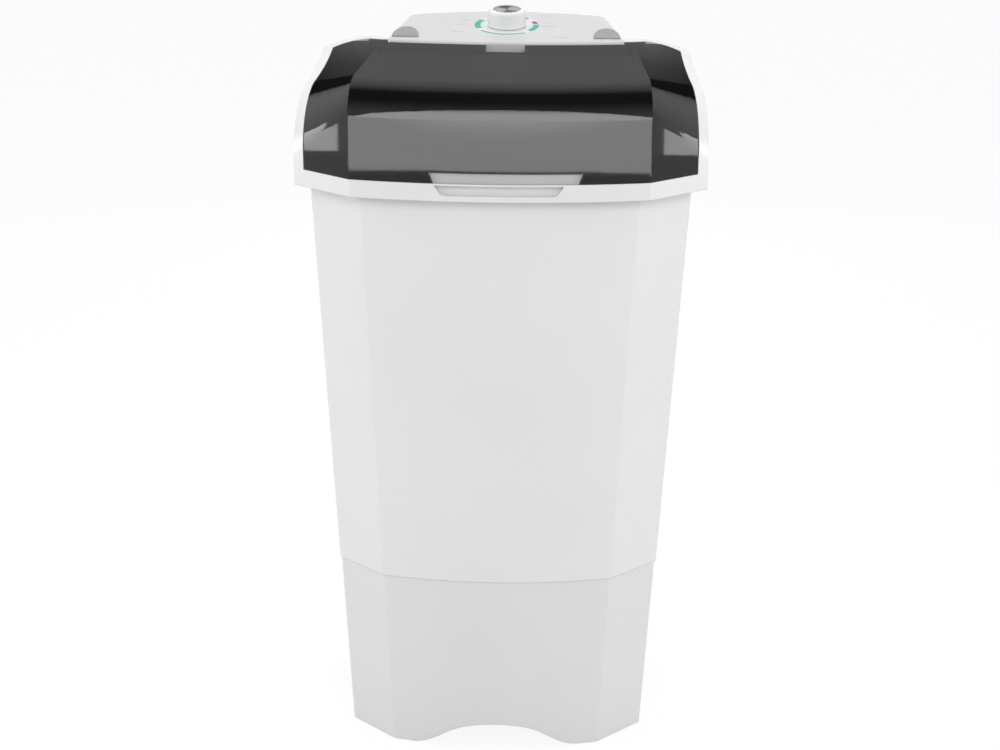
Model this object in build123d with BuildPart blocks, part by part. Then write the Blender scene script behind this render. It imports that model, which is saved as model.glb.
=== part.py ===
"""Semi-automatic washing machine: a tapered eight-sided tub on an arched base, with a smoked lid.

Millimetres, +X to the right, +Y to the rear and +Z up. The origin is on the floor, under the middle
of the machine.
"""

from build123d import *
import os
from math import cos, radians, sin, tan

os.makedirs("parts", exist_ok=True)

# Overall size of the white top frame, which is the widest part
width = 530.0
depth = 540.0
front_bow = 26.0
rim_chamfer = 77.5
rim_low = 779.0
ledge_top = 801.0
frame_wall = 3.0

# Tapered body, given at floor level and by how much each side leans out per millimetre of height
body_half_width = 204.7
body_front = 183.5
body_rear = 208.7
body_chamfer = 63.1
chamfer_growth = 0.007
body_bow = 20.0
bow_growth = 0.005
draft = 0.053
crease_radius = 12.0
tub_wall = 3.0
seam_height = 253.0
tub_floor = 304.0
tub_floor_wall = 4.0
floor_ledge = 5.0
floor_gap = 0.3
base_step = 2.0
base_wall = 3.2
base_lap = 12.0
lap_clearance = 0.4
foot_gap = 2.0
tank_flange_reach = 14.0
tank_flange = 3.0
under_rib_count = 12

# Arches between the feet
arch_half_width = 110.0
arch_height = 36.0
side_arch_half_width = 92.0
side_arch_height = 28.0
foot_radius = 17.0
foot_height = 8.0
foot_inset = 24.0
web_wall = 3.0

# Rounded top, shared by the lid and the frame's wings
lid_top = 920.0
lid_shoulder = 880.0
lid_round = 79.0
crease_taper = 0.012
side_shoulder = 818.0
side_round = 163.5
side_top = 890.0
side_mid_rise = 21.0
side_rear_rise = 40.0
wing_thickness = 14.0
pocket_rear = 236.0
lid_wall = 2.5
lid_side_gap = 1.0
lid_seat_gap = 0.3
collar_height = 12.0
collar_gap = 5.0

# Console at the rear: a raised panel that slopes down to the front
panel_front = 129.0
panel_front_bow = 10.0
panel_front_half = 169.0
panel_rear_half = 138.0
panel_rear_bow = 20.0
panel_front_top = 932.5
panel_slope = 10.8
panel_wall = 3.0
panel_skirt_low = 914.0
panel_corner = 10.0
panel_gap = 2.5
arm_gap = 4.0
ramp_start = 65.0
ramp_drop = 3.5
console_wall = 2.5
console_gap = 0.3
shelf_height = 875.0
shelf_front = 118.0
shelf_skirt = 40.0
shelf_rib_count = 8
shelf_rib_pitch = 13.0
shelf_rib_first = -224.0

# Notches and finger recess at the front, and the notch in the lid's rear edge
notch_half_top = 94.5
notch_half_low = 89.0
notch_height = 13.5
notch_shift = 8.5
upstand_gap = 1.5
recess_half_top = 80.0
recess_half_low = 71.0
recess_height = 12.5
recess_depth = 9.0
recess_drop = 2.5
recess_corner = 9.0
rear_notch_half = 27.5
rear_notch_depth = 38.5
rear_notch_corner = 6.0

# Lid hinge
hinge_y = 225.0
hinge_z = 912.0
pin_radius = 2.5
running_clearance = 0.06
knuckle_radius = 6.5
knuckle_length = 24.0
knuckle_x = 188.0
lug_radius = 4.6
lug_width = 6.0
lug_gap = 0.6
lid_rear = 230.0
lid_tail_half = 202.0
lid_tail_front = 212.5

# Knob and timer, on an axis square to the sloping panel
knob_y = 200.0
knob_radius = 27.5
knob_rim_radius = 28.3
knob_rim_height = 3.0
knob_height = 25.0
knob_gap = 0.8
knob_wall = 2.4
knob_hub_radius = 6.5
insert_radius = 22.0
insert_thickness = 1.2
timer_shaft_radius = 3.0
timer_size = 50.0
timer_height = 26.0
timer_neck_radius = 6.0
timer_gap = 0.3
timer_screw_x = 14.0
timer_corner = 4.0
dial_radius = 47.0
dial_inner_radius = 20.0
film_thickness = 0.3
pad_half_width = 19.0
pad_length = 46.0
pad_x = 143.0
pad_front = 139.0
pad_thickness = 1.6

# Drive under the tub
drive_y = 12.5
dish_radius = 172.0
dish_depth = 8.0
shaft_radius = 6.0
shaft_top = 360.0
housing_radius = 20.0
housing_flange_radius = 46.0
housing_flange = 6.0
housing_length = 96.0
bush_radius = 10.0
bush_length = 18.0
bush_flange = 2.0
seal_radius = 13.0
seal_height = 6.0
ring_nut_radius = 27.0
ring_nut_slots = 8
ring_nut_slot_radius = 2.2
pulley_radius = 100.0
pulley_width = 16.0
pulley_low = 122.0
pulley_hub_radius = 16.0
pulley_hub_height = 26.0
motor_pulley_radius = 25.0
groove_width = 9.0
groove_depth = 7.0
belt_clearance = 0.4
pulley_nut_radius = 10.5
pulley_nut_height = 8.0
motor_offset = 131.0
motor_radius = 62.0
bell_height = 22.0
bell_wall = 3.0
bell_corner = 4.0
vent_radius = 5.0
stator_height = 40.0
motor_top = 244.0
rotor_radius = 30.0
rotor_gap = 0.6
winding_radius = 51.0
winding_inner_radius = 34.0
winding_height = 10.0
bolt_circle = 56.0
bolt_radius = 2.5
bracket_wall = 3.0
bracket_corner = 8.0
bracket_half_width = 62.0
bracket_half_length = 64.0
grommet_height = 10.0
grommet_radius = 7.0
post_x = 52.0
post_radius = 7.0
capacitor_x = -100.0
capacitor_y = 112.0
capacitor_radius = 18.0
capacitor_length = 70.0
tab_size = (0.8, 6.0, 8.0)
tab_x = 6.0
clip_height = 18.0
clip_wall = 2.0

# Agitator
agitator_radius = 163.0
agitator_gap = 4.0
agitator_wall = 5.0
agitator_edge = 6.0
hub_root_radius = 46.0
hub_root_height = 30.0
hub_radius = 27.0
hub_height = 76.0
vane_count = 4
vane_reach = 148.0
vane_tip_height = 30.0
vane_root_height = 56.0
vane_wall = 7.0
cap_radius = 18.0
cap_height = 9.0
cap_wall = 3.0
slot_width = 1.4
slot_depth = 1.6

# Drain, cord gland, filter and wiring
drain_x = 118.0
drain_y = 182.0
drain_hole_radius = 20.0
drain_bore = 10.5
drain_tube = 12.5
drain_z = 212.0
drain_reach = 264.0
spigot_radius = 13.0
spigot_stop = 226.0
shoulder_radius = 15.5
shoulder_cone = 2.5
drain_flange_radius = 26.0
drain_wall = 3.0
hose_wall = 3.0
hose_clearance = 0.1
hose_bend = 20.0
clamp_width = 9.0
gland_x = -130.0
gland_z = 200.0
gland_bore = 4.0
gland_radius = 9.0
gland_flange_radius = 13.0
filter_low = 520.0
filter_height = 90.0
filter_width = 110.0
filter_thickness = 4.0
filter_gap = 0.5
filter_mesh = 9.0
duct_x = -75.0
duct_width = 34.0
duct_depth = 12.0
duct_wall = 2.0
duct_low = 264.0
harness_radius = 3.0
harness_stand_off = 5.0

# Fasteners
screw_radius = 2.0
screw_head_radius = 4.0
screw_head_height = 3.0
screw_length = 14.0
boss_wall = 2.5
panel_screw_y = 249.0

rim_front = front_bow - depth / 2
rim_rear = depth / 2
rim_crease = width / 2 - rim_chamfer
tub_under = tub_floor - tub_floor_wall
dish_top = tub_floor - dish_depth
dish_under = dish_top - tub_floor_wall
tank_top = ledge_top - frame_wall
slope = tan(radians(panel_slope))
motor_y = drive_y + motor_offset
bottom_aligned = (Align.CENTER, Align.CENTER, Align.MIN)
top_aligned = (Align.CENTER, Align.CENTER, Align.MAX)


def body_plan(height, inset=0.0):
    """Plan of the tapered eight-sided body at a height, drawn in by an inset all round."""
    half_width = body_half_width + draft * height - inset
    front = -body_front - draft * height + inset
    rear = body_rear + draft * height - inset
    chamfer = body_chamfer + chamfer_growth * height - inset * (2 - 2**0.5)
    bow = body_bow + bow_growth * height
    crease = half_width - chamfer
    with BuildSketch(Plane.XY.offset(height)) as plan:
        with BuildLine():
            ThreePointArc((-crease, front), (0, front - bow), (crease, front))
            Polyline(
                (crease, front),
                (half_width, front + chamfer),
                (half_width, rear - chamfer),
                (crease, rear),
                (-crease, rear),
                (-half_width, rear - chamfer),
                (-half_width, front + chamfer),
                (-crease, front),
            )
        make_face()
        fillet(plan.vertices(), max(crease_radius - inset, 2.0))
    return plan.sketch


def body_block(low, high, inset=0.0):
    """Solid of the tapered body between two heights."""
    with BuildPart() as block:
        loft([body_plan(low, inset), body_plan(high, inset)], ruled=True)
    return block.part


def rear_wall(height, inset=0.0):
    """Where the body's rear face stands at a height."""
    return body_rear + draft * height - inset


def rear_plane(x, height, inset=0.0):
    """Plane across the leaning rear wall, with its normal up the wall and +Y out of it."""
    return Plane((x, rear_wall(height, inset), height), x_dir=(1, 0, 0), z_dir=(0, draft, 1))


def panel_z(y):
    """Height of the panel's sloping top."""
    return panel_front_top + (y - panel_front) * slope


def panel_side(y):
    """Half the panel's width."""
    lean = (panel_rear_half - panel_front_half) / (rim_rear - panel_front)
    return panel_front_half + lean * (y - panel_front)


def panel_plan(height, inset, corner, rear, rear_bow):
    """Plan of the console: a trapezoid with a bowed front edge and a bowed or straight rear edge."""
    front = panel_front + inset
    with BuildSketch(Plane.XY.offset(height)) as plan:
        with BuildLine():
            ThreePointArc(
                (inset - panel_side(front), front),
                (0, front - panel_front_bow),
                (panel_side(front) - inset, front),
            )
            side = panel_side(rear - rear_bow) - inset
            Line((panel_side(front) - inset, front), (side, rear - rear_bow))
            if rear_bow:
                ThreePointArc((side, rear - rear_bow), (0, rear), (-side, rear - rear_bow))
            else:
                Line((side, rear), (-side, rear))
            Line((-side, rear - rear_bow), (inset - panel_side(front), front))
        make_face()
        fillet(plan.vertices(), corner)
    return plan.sketch


def under_panel(inset, low, corner):
    """Solid under the panel's slope, drawn in from its sides and top by an inset."""
    rear = rim_rear - inset
    with BuildPart() as block:
        extrude(panel_plan(low, inset, corner, rear, panel_rear_bow), amount=2 * lid_top)
        with BuildSketch(Plane.YZ.offset(-width / 2)):
            Polygon(
                (0, low),
                (rim_rear, low),
                (rim_rear, panel_z(rim_rear) - inset),
                (0, panel_z(0) - inset),
                align=None,
            )
        extrude(amount=width, mode=Mode.INTERSECT)
    return block.part


def hood(inset=0.0):
    """Solid under the rounded top: a bowed centre strip and a facet down to each side."""
    bow_radius = (rim_crease**2 + front_bow**2) / (2 * front_bow)
    axis_y = bow_radius - depth / 2
    front = inset - depth / 2
    round_end = lid_round - depth / 2
    top = lid_top - inset
    crease_front = rim_crease + crease_taper * lid_round
    crease_rear = rim_crease - crease_taper * (rim_rear - inset - rim_front)
    corner_y = rim_front + rim_chamfer + inset
    crown_y = rim_front + rim_chamfer + side_round
    crown_z = side_top - inset
    with BuildPart() as body:
        with BuildSketch(Plane.YZ):
            with BuildLine():
                Polyline((round_end, top), (axis_y, top), (axis_y, rim_low), (front, rim_low))
                Line((front, rim_low), (front, lid_shoulder))
                EllipticalCenterArc(
                    (round_end, lid_shoulder), lid_round - inset, top - lid_shoulder, 90, arc_size=90
                )
            make_face()
        revolve(axis=Axis((0, axis_y, 0), (0, 0, 1)))
        with BuildSketch(Plane.XY.offset(rim_low)):
            Polygon(
                (crease_front, rim_front - lid_round),
                (crease_rear, rim_rear - inset),
                (-crease_rear, rim_rear - inset),
                (-crease_front, rim_front - lid_round),
                align=None,
            )
        extrude(amount=lid_top, mode=Mode.INTERSECT)
        crease_face = body.faces().filter_by(GeomType.PLANE).sort_by(Axis.X)[-1]
        with BuildSketch(
            Plane((width / 2 - inset, 0, 0), x_dir=(0, 1, 0), z_dir=(1, 0, 0))
        ) as side_section:
            with BuildLine():
                Polyline(
                    (rim_rear - inset, crown_z + side_rear_rise),
                    (rim_rear - inset, rim_low),
                    (corner_y, rim_low),
                    (corner_y, side_shoulder),
                )
                EllipticalCenterArc(
                    (crown_y, side_shoulder), side_round - inset, crown_z - side_shoulder, 90, arc_size=90
                )
                Spline(
                    (crown_y, crown_z),
                    (rim_rear - rim_chamfer, crown_z + side_mid_rise),
                    (rim_rear - inset, crown_z + side_rear_rise),
                    tangents=((1, 0.04), (1, 0.2)),
                )
            make_face()
        loft([crease_face, side_section.sketch.face()], ruled=True)
        split(bisect_by=Plane.YZ, keep=Keep.TOP)
        mirror(about=Plane.YZ)
    return body.part


def frame_plan(height, inset, front, rear):
    """Plan of the top frame drawn in at its sides and rear chamfers, and squared off at the front."""
    side = width / 2 - inset
    reach = width / 2 + rim_rear - rim_chamfer - inset * 2**0.5
    with BuildSketch(Plane.XY.offset(height)) as plan:
        Polygon(
            (side, front),
            (side, reach - side),
            (reach - rear, rear),
            (rear - reach, rear),
            (-side, reach - side),
            (-side, front),
            align=None,
        )
    return plan.sketch


def tub_opening(low, high, grow=0.0):
    """Space of the opening that clothes go through, inside the tub's walls and the frame's pocket."""
    inset = tub_wall + frame_wall + collar_gap - grow
    pocket_inset = wing_thickness + frame_wall - grow
    with BuildPart() as opening:
        add(body_block(low, high, inset))
        extrude(
            frame_plan(low, pocket_inset, -depth, pocket_rear - 2 * frame_wall + grow),
            amount=high - low,
            mode=Mode.INTERSECT,
        )
    return opening.part


def corner_places(height, inward):
    """Points inward of the middle of each chamfer, with the angle that each chamfer faces."""
    chamfer = body_chamfer + chamfer_growth * height
    x = body_half_width + draft * height - chamfer / 2 - inward * 0.5**0.5
    front = -body_front - draft * height + chamfer / 2 + inward * 0.5**0.5
    rear = rear_wall(height) - chamfer / 2 - inward * 0.5**0.5
    return [
        Location((x, rear, height), (0, 0, 45)),
        Location((-x, rear, height), (0, 0, 135)),
        Location((-x, front, height), (0, 0, 225)),
        Location((x, front, height), (0, 0, 315)),
    ]


def screw(place, length=screw_length):
    """One pan-head screw, with its shank along the place's +Z and its head below."""
    with BuildPart() as one:
        with Locations(place):
            Cylinder(screw_radius, length, align=bottom_aligned)
            Cylinder(screw_head_radius, screw_head_height, align=top_aligned)
    return one.part


# Heights that several pieces share
lug_height = seam_height + 2.0
lug_wall = 4.0
bracket_top = motor_top + grommet_height + bracket_wall
post_y_front = motor_y - bracket_half_length + post_radius + 3.0
post_y_rear = motor_y + bracket_half_length - post_radius - 3.0
post_places = [(sx * post_x, y) for sx in (-1, 1) for y in (post_y_front, post_y_rear)]
base_inner = base_step + base_wall
middle_y = (body_rear - body_front) / 2
lug_places = corner_places(lug_height, foot_inset)
foot_places = corner_places(0, foot_inset)
frame_screw_x = (width - wing_thickness - 1) / 2
frame_screw_spots = [(sx * frame_screw_x, y) for sx in (-1, 1) for y in (-90.0, 20.0, 130.0)]
front_screw_spots = [(sx * pad_x * 0.9, panel_front + 4 * panel_wall + panel_corner) for sx in (-1, 1)]
panel_screw_spots = [(sx * 0.7 * panel_rear_half, panel_screw_y) for sx in (-1, 1)]
recess_border = 8.0
recess_rear = recess_depth + 10 - depth / 2
harness_entry = duct_low + 16
wire_z = shelf_height + 18
motor_bolt_spots = [
    (bolt_circle * cos(radians(a)), motor_y + bolt_circle * sin(radians(a))) for a in (45, 135, 225, 315)
]

# Wash tub: tapered walls with a flange for the frame and a ledge that carries the floor
with BuildPart() as wash_tank:
    add(body_block(seam_height, tank_top))
    add(body_block(tank_top - tank_flange, tank_top, -tank_flange_reach))
    with Locations((0, recess_rear, tank_top - tank_flange)):
        Box(
            2 * (recess_half_top + recess_border) + 4,
            depth / 4,
            tank_flange,
            align=(Align.CENTER, Align.MAX, Align.MIN),
            mode=Mode.SUBTRACT,
        )
    with Locations((duct_x, rear_wall(tank_top) + 0.2, tank_top - tank_flange)):
        Box(
            4 * harness_radius,
            2 * tank_flange_reach,
            tank_flange,
            align=(Align.CENTER, Align.MIN, Align.MIN),
            mode=Mode.SUBTRACT,
        )
    add(body_block(tub_under, tank_top + 1, tub_wall), mode=Mode.SUBTRACT)
    add(body_block(tub_under - tub_wall - 1, tub_under + 1, tub_wall + floor_ledge), mode=Mode.SUBTRACT)
    add(body_block(seam_height - 1, tub_under - tub_wall, tub_wall), mode=Mode.SUBTRACT)
    with Locations([Location((x, y, tank_top - tank_flange)) for x, y in frame_screw_spots]):
        Cylinder(screw_radius, tank_flange, align=bottom_aligned, mode=Mode.SUBTRACT)
    with Locations(Location((duct_x, rear_wall(harness_entry) + 5, harness_entry), (90, 0, 0))):
        Cylinder(harness_radius + 1, 2 * duct_depth, align=bottom_aligned, mode=Mode.SUBTRACT)

wash_tank.part.label = "wash_tank"
export_step(wash_tank.part, "parts/wash_tank.step")

# Stiffening ribs under the tub's floor
rib_low = seam_height + base_lap + 2.0
with BuildPart() as under_ribs:
    with BuildSketch(Plane((0, drive_y, rib_low))):
        with PolarLocations(0, under_rib_count):
            Rectangle(width, tub_wall, align=(Align.MIN, Align.CENTER))
        Circle(dish_radius - 2 * crease_radius, mode=Mode.SUBTRACT)
        with Locations((drain_x, drain_y - drive_y)):
            Circle(drain_flange_radius + 4, mode=Mode.SUBTRACT)
    extrude(amount=tub_under - rib_low)
    add(body_block(rib_low, tub_under, tub_wall + floor_ledge + floor_gap), mode=Mode.INTERSECT)

# Tub floor: dished plate on the tub's ledge, with the bosses that carry the drive and the base
with BuildPart() as tub_bottom:
    add(body_block(tub_under, tub_floor, tub_wall + floor_gap))
    with Locations((0, drive_y, dish_under)):
        Cylinder(dish_radius + tub_floor_wall, dish_depth, align=bottom_aligned)
    with Locations([Location((x, y, bracket_top)) for x, y in post_places]):
        Cylinder(post_radius, tub_under + 1 - bracket_top, align=bottom_aligned)
    with Locations((0, drive_y, dish_top)):
        Cylinder(dish_radius, dish_depth + 1, align=bottom_aligned, mode=Mode.SUBTRACT)
    add(under_ribs.part)
    with Locations([place * Location((0, 0, lug_wall)) for place in lug_places]):
        Cylinder(screw_radius + boss_wall, tub_under - lug_height - lug_wall + 1, align=bottom_aligned)
    with Locations((0, drive_y, dish_under - 1)):
        Cylinder(
            housing_radius + running_clearance,
            2 * tub_floor_wall,
            align=bottom_aligned,
            mode=Mode.SUBTRACT,
        )
    with Locations((drain_x, drain_y, tub_under - 1)):
        Cylinder(drain_hole_radius, 2 * tub_floor_wall, align=bottom_aligned, mode=Mode.SUBTRACT)
    with Locations([place * Location((0, 0, lug_wall)) for place in lug_places]):
        Cylinder(screw_radius, screw_length, align=bottom_aligned, mode=Mode.SUBTRACT)
    with Locations([Location((x, y, bracket_top)) for x, y in post_places]):
        Cylinder(screw_radius, screw_length, align=bottom_aligned, mode=Mode.SUBTRACT)

tub_bottom.part.label = "tub_bottom"
export_step(tub_bottom.part, "parts/tub_bottom.step")


def arch(half_width, height):
    """Opening between two feet, with soft S-shaped ends."""
    with BuildSketch() as opening:
        with BuildLine():
            Spline(
                (-half_width, foot_gap),
                (-0.55 * half_width, 0.68 * height),
                (0, height),
                (0.55 * half_width, 0.68 * height),
                (half_width, foot_gap),
                tangents=((1, 0.15), (1, -0.15)),
            )
            Polyline((half_width, foot_gap), (half_width, -1), (-half_width, -1), (-half_width, foot_gap))
        make_face()
    return opening.sketch


# Base: arched skirt that slips up inside the tub's lower edge
with BuildPart() as base_skirt:
    add(body_block(foot_gap, seam_height, base_step))
    add(body_block(seam_height, seam_height + base_lap, tub_wall + lap_clearance))
    add(body_block(foot_gap - 1, seam_height + base_lap + 1, base_inner), mode=Mode.SUBTRACT)
    with BuildSketch(Plane.XZ.offset(depth / 6)):
        add(arch(arch_half_width, arch_height))
    extrude(amount=depth / 2, mode=Mode.SUBTRACT)
    with BuildSketch(Plane.XZ.offset(-depth / 6)):
        add(arch(arch_half_width, arch_height))
    extrude(amount=-depth / 2, mode=Mode.SUBTRACT)
    with BuildSketch(Plane.YZ.offset(-width / 2)):
        with Locations((middle_y, 0)):
            add(arch(side_arch_half_width, side_arch_height))
    extrude(amount=width, mode=Mode.SUBTRACT)
    with BuildPart(mode=Mode.PRIVATE) as lugs:
        with Locations([place * Location((foot_inset / 2, 0, 0)) for place in lug_places]):
            Box(foot_inset * 2, foot_inset * 1.6, lug_wall, align=bottom_aligned)
        with Locations([place * Location((foot_inset / 2, 0, foot_height)) for place in foot_places]):
            Box(foot_inset * 3, foot_radius * 2.4, web_wall, align=bottom_aligned)
    add(lugs.part.intersect(body_block(0, seam_height + base_lap, base_inner - 1)))
    with Locations(lug_places):
        Cylinder(screw_radius, 3 * lug_wall, mode=Mode.SUBTRACT)
    with Locations(foot_places):
        Cylinder(screw_head_radius, foot_height + 2 * web_wall, align=bottom_aligned, mode=Mode.SUBTRACT)
    with Locations(Location((gland_x, rear_wall(gland_z) + gland_radius, gland_z), (90, 0, 0))):
        Cylinder(gland_radius, 3 * gland_radius, align=bottom_aligned, mode=Mode.SUBTRACT)
    with Locations(Location((drain_x, rear_wall(drain_z) + drain_tube, drain_z), (90, 0, 0))):
        Cylinder(drain_tube + hose_clearance, 3 * drain_tube, align=bottom_aligned, mode=Mode.SUBTRACT)

base_skirt.part.label = "base_skirt"
export_step(base_skirt.part, "parts/base_skirt.step")

# Rubber feet, each held by its stem in a web of the base
with BuildPart() as rubber_feet:
    with Locations(foot_places):
        Cylinder(foot_radius, foot_height, align=bottom_aligned)
        Cylinder(screw_head_radius, foot_height + web_wall + 2, align=bottom_aligned)
    with Locations([place * Location((0, 0, foot_height + web_wall)) for place in foot_places]):
        Cylinder(screw_head_radius + 1.5, 2, align=bottom_aligned)

rubber_feet.part.label = "rubber_feet"
export_step(rubber_feet.part, "parts/rubber_feet.step")

# Top frame: skirt and ledge round the tub, side wings, rear deck and inner shelf
with BuildPart() as frame_shape:
    add(hood())
    extrude(frame_plan(rim_low, 0, -depth, rim_rear), amount=lid_top, mode=Mode.INTERSECT)

with BuildPart() as frame_hollow:
    add(hood(frame_wall))
    extrude(
        frame_plan(rim_low, frame_wall, -depth, rim_rear - frame_wall), amount=lid_top, mode=Mode.INTERSECT
    )

pocket_clear = wing_thickness
with BuildPart() as top_frame:
    add(frame_shape.part)
    add(frame_hollow.part, mode=Mode.SUBTRACT)
    with BuildPart(mode=Mode.PRIVATE) as inner_walls:
        add(frame_shape.part)
        extrude(
            frame_plan(tank_top, pocket_clear - frame_wall, -depth, pocket_rear + frame_wall),
            amount=lid_top,
            mode=Mode.INTERSECT,
        )
    add(inner_walls.part)
    with BuildPart(mode=Mode.PRIVATE) as screw_bosses:
        with Locations([Location((x, y, tank_top)) for x, y in frame_screw_spots]):
            Box(
                wing_thickness - frame_wall,
                2 * (screw_radius + boss_wall),
                screw_length + 6,
                align=bottom_aligned,
            )
    add(screw_bosses.part)
    extrude(frame_plan(ledge_top, pocket_clear, -depth, pocket_rear), amount=lid_top, mode=Mode.SUBTRACT)
    add(tub_opening(tank_top - collar_height, tank_top + 1, frame_wall))
    add(tub_opening(tank_top - collar_height - 1, ledge_top + 1), mode=Mode.SUBTRACT)
    with BuildPart(mode=Mode.PRIVATE) as shelf:
        shelf_span = width - 2 * pocket_clear + frame_wall
        shelf_depth = pocket_rear - shelf_front + 1
        with Locations((0, shelf_front, shelf_height)):
            Box(shelf_span, shelf_depth, frame_wall, align=(Align.CENTER, Align.MIN, Align.MAX))
            Box(shelf_span, frame_wall, shelf_skirt, align=(Align.CENTER, Align.MIN, Align.MAX))
        first_rib = Location((shelf_rib_first, shelf_front, shelf_height - frame_wall))
        for i in range(shelf_rib_count):
            with Locations(first_rib * Location((i * shelf_rib_pitch, 0, 0))):
                Box(frame_wall, frame_wall, shelf_skirt / 2, align=(Align.CENTER, Align.MAX, Align.MAX))
        for side in (-1, 1):
            for offset in (-1, 1):
                lug_x = side * knuckle_x + offset * (knuckle_length / 2 + lug_gap + lug_width / 2)
                with Locations((lug_x, hinge_y, shelf_height - 1)):
                    Box(lug_width, 2 * lug_radius, hinge_z - shelf_height + 1, align=bottom_aligned)
                with Locations(Location((lug_x, hinge_y, hinge_z), (0, 90, 0))):
                    Cylinder(lug_radius, lug_width)
        extrude(
            frame_plan(ledge_top, pocket_clear - 1, -depth, pocket_rear + 1),
            amount=lid_top,
            mode=Mode.INTERSECT,
        )
    add(shelf.part)
    for side in (-1, 1):
        with Locations(Location((side * knuckle_x, hinge_y, hinge_z), (0, 90, 0))):
            Cylinder(pin_radius, knuckle_length + 2 * lug_gap + 2 * lug_width + 2, mode=Mode.SUBTRACT)
    recess_low = ledge_top - recess_drop - recess_height
    with BuildPart(mode=Mode.PRIVATE) as recess_block:
        with Locations((0, -depth / 2, rim_low)):
            Box(
                2 * (recess_half_top + recess_border),
                50,
                ledge_top - rim_low,
                align=(Align.CENTER, Align.MIN, Align.MIN),
            )
        add(hood(frame_wall / 2), mode=Mode.INTERSECT)
        add(hood(recess_depth + frame_wall), mode=Mode.SUBTRACT)
    add(recess_block.part)
    with BuildPart(mode=Mode.PRIVATE) as recess:
        with BuildSketch(Plane.XZ.offset(depth / 4)) as recess_face:
            Polygon(
                (-recess_half_low, recess_low),
                (recess_half_low, recess_low),
                (recess_half_top, recess_low + recess_height),
                (-recess_half_top, recess_low + recess_height),
                align=None,
            )
            fillet(recess_face.vertices().group_by(Axis.Y)[0], recess_corner)
        extrude(amount=depth / 2)
        add(hood(recess_depth), mode=Mode.SUBTRACT)
    add(recess.part, mode=Mode.SUBTRACT)
    with BuildPart(mode=Mode.PRIVATE) as upstand:
        with Locations((notch_shift, -depth / 2, tank_top)):
            Box(
                2 * notch_half_top + 12,
                50,
                ledge_top + notch_height + 1 - tank_top,
                align=(Align.CENTER, Align.MIN, Align.MIN),
            )
        add(hood(lid_wall + upstand_gap), mode=Mode.INTERSECT)
        add(hood(lid_wall + upstand_gap + frame_wall), mode=Mode.SUBTRACT)
    add(upstand.part)
    for x, y in frame_screw_spots:
        with Locations((x, y, tank_top - 1)):
            Cylinder(screw_radius, screw_length + 1, align=bottom_aligned, mode=Mode.SUBTRACT)
    with Locations(Location((duct_x, pocket_rear - 2, wire_z), (-90, 0, 0))):
        Cylinder(harness_radius + 1, 3 * frame_wall, align=bottom_aligned, mode=Mode.SUBTRACT)
    with Locations([Location((x, y, lid_top)) for x, y in panel_screw_spots]):
        Cylinder(screw_radius, 3 * frame_wall, mode=Mode.SUBTRACT)
    with Locations([Location((x, y, shelf_height)) for x, y in front_screw_spots]):
        Cylinder(screw_radius, 3 * frame_wall, mode=Mode.SUBTRACT)

top_frame.part.label = "top_frame"
export_step(top_frame.part, "parts/top_frame.step")

# Smoked lid: one curved sheet with a ramp up to the console, notches and two hinge knuckles
ramp_end = panel_front - panel_gap
ramp_rise = (panel_z(panel_front - panel_front_bow) - ramp_drop - lid_top) / (
    ramp_end - panel_front_bow - ramp_start
)
ramp_half = panel_front_half + arm_gap


def ramp(inset):
    """Wedge that lifts the lid up to the panel's front edge."""
    with BuildPart() as wedge:
        with BuildSketch(Plane.YZ.offset(inset - ramp_half)):
            Polygon(
                (ramp_start, lid_top - inset),
                (ramp_end, lid_top - inset + ramp_rise * (ramp_end - ramp_start)),
                (ramp_end, lid_top - 4 * lid_wall),
                (ramp_start, lid_top - 4 * lid_wall),
                align=None,
            )
        extrude(amount=2 * (ramp_half - inset))
    return wedge.part


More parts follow.
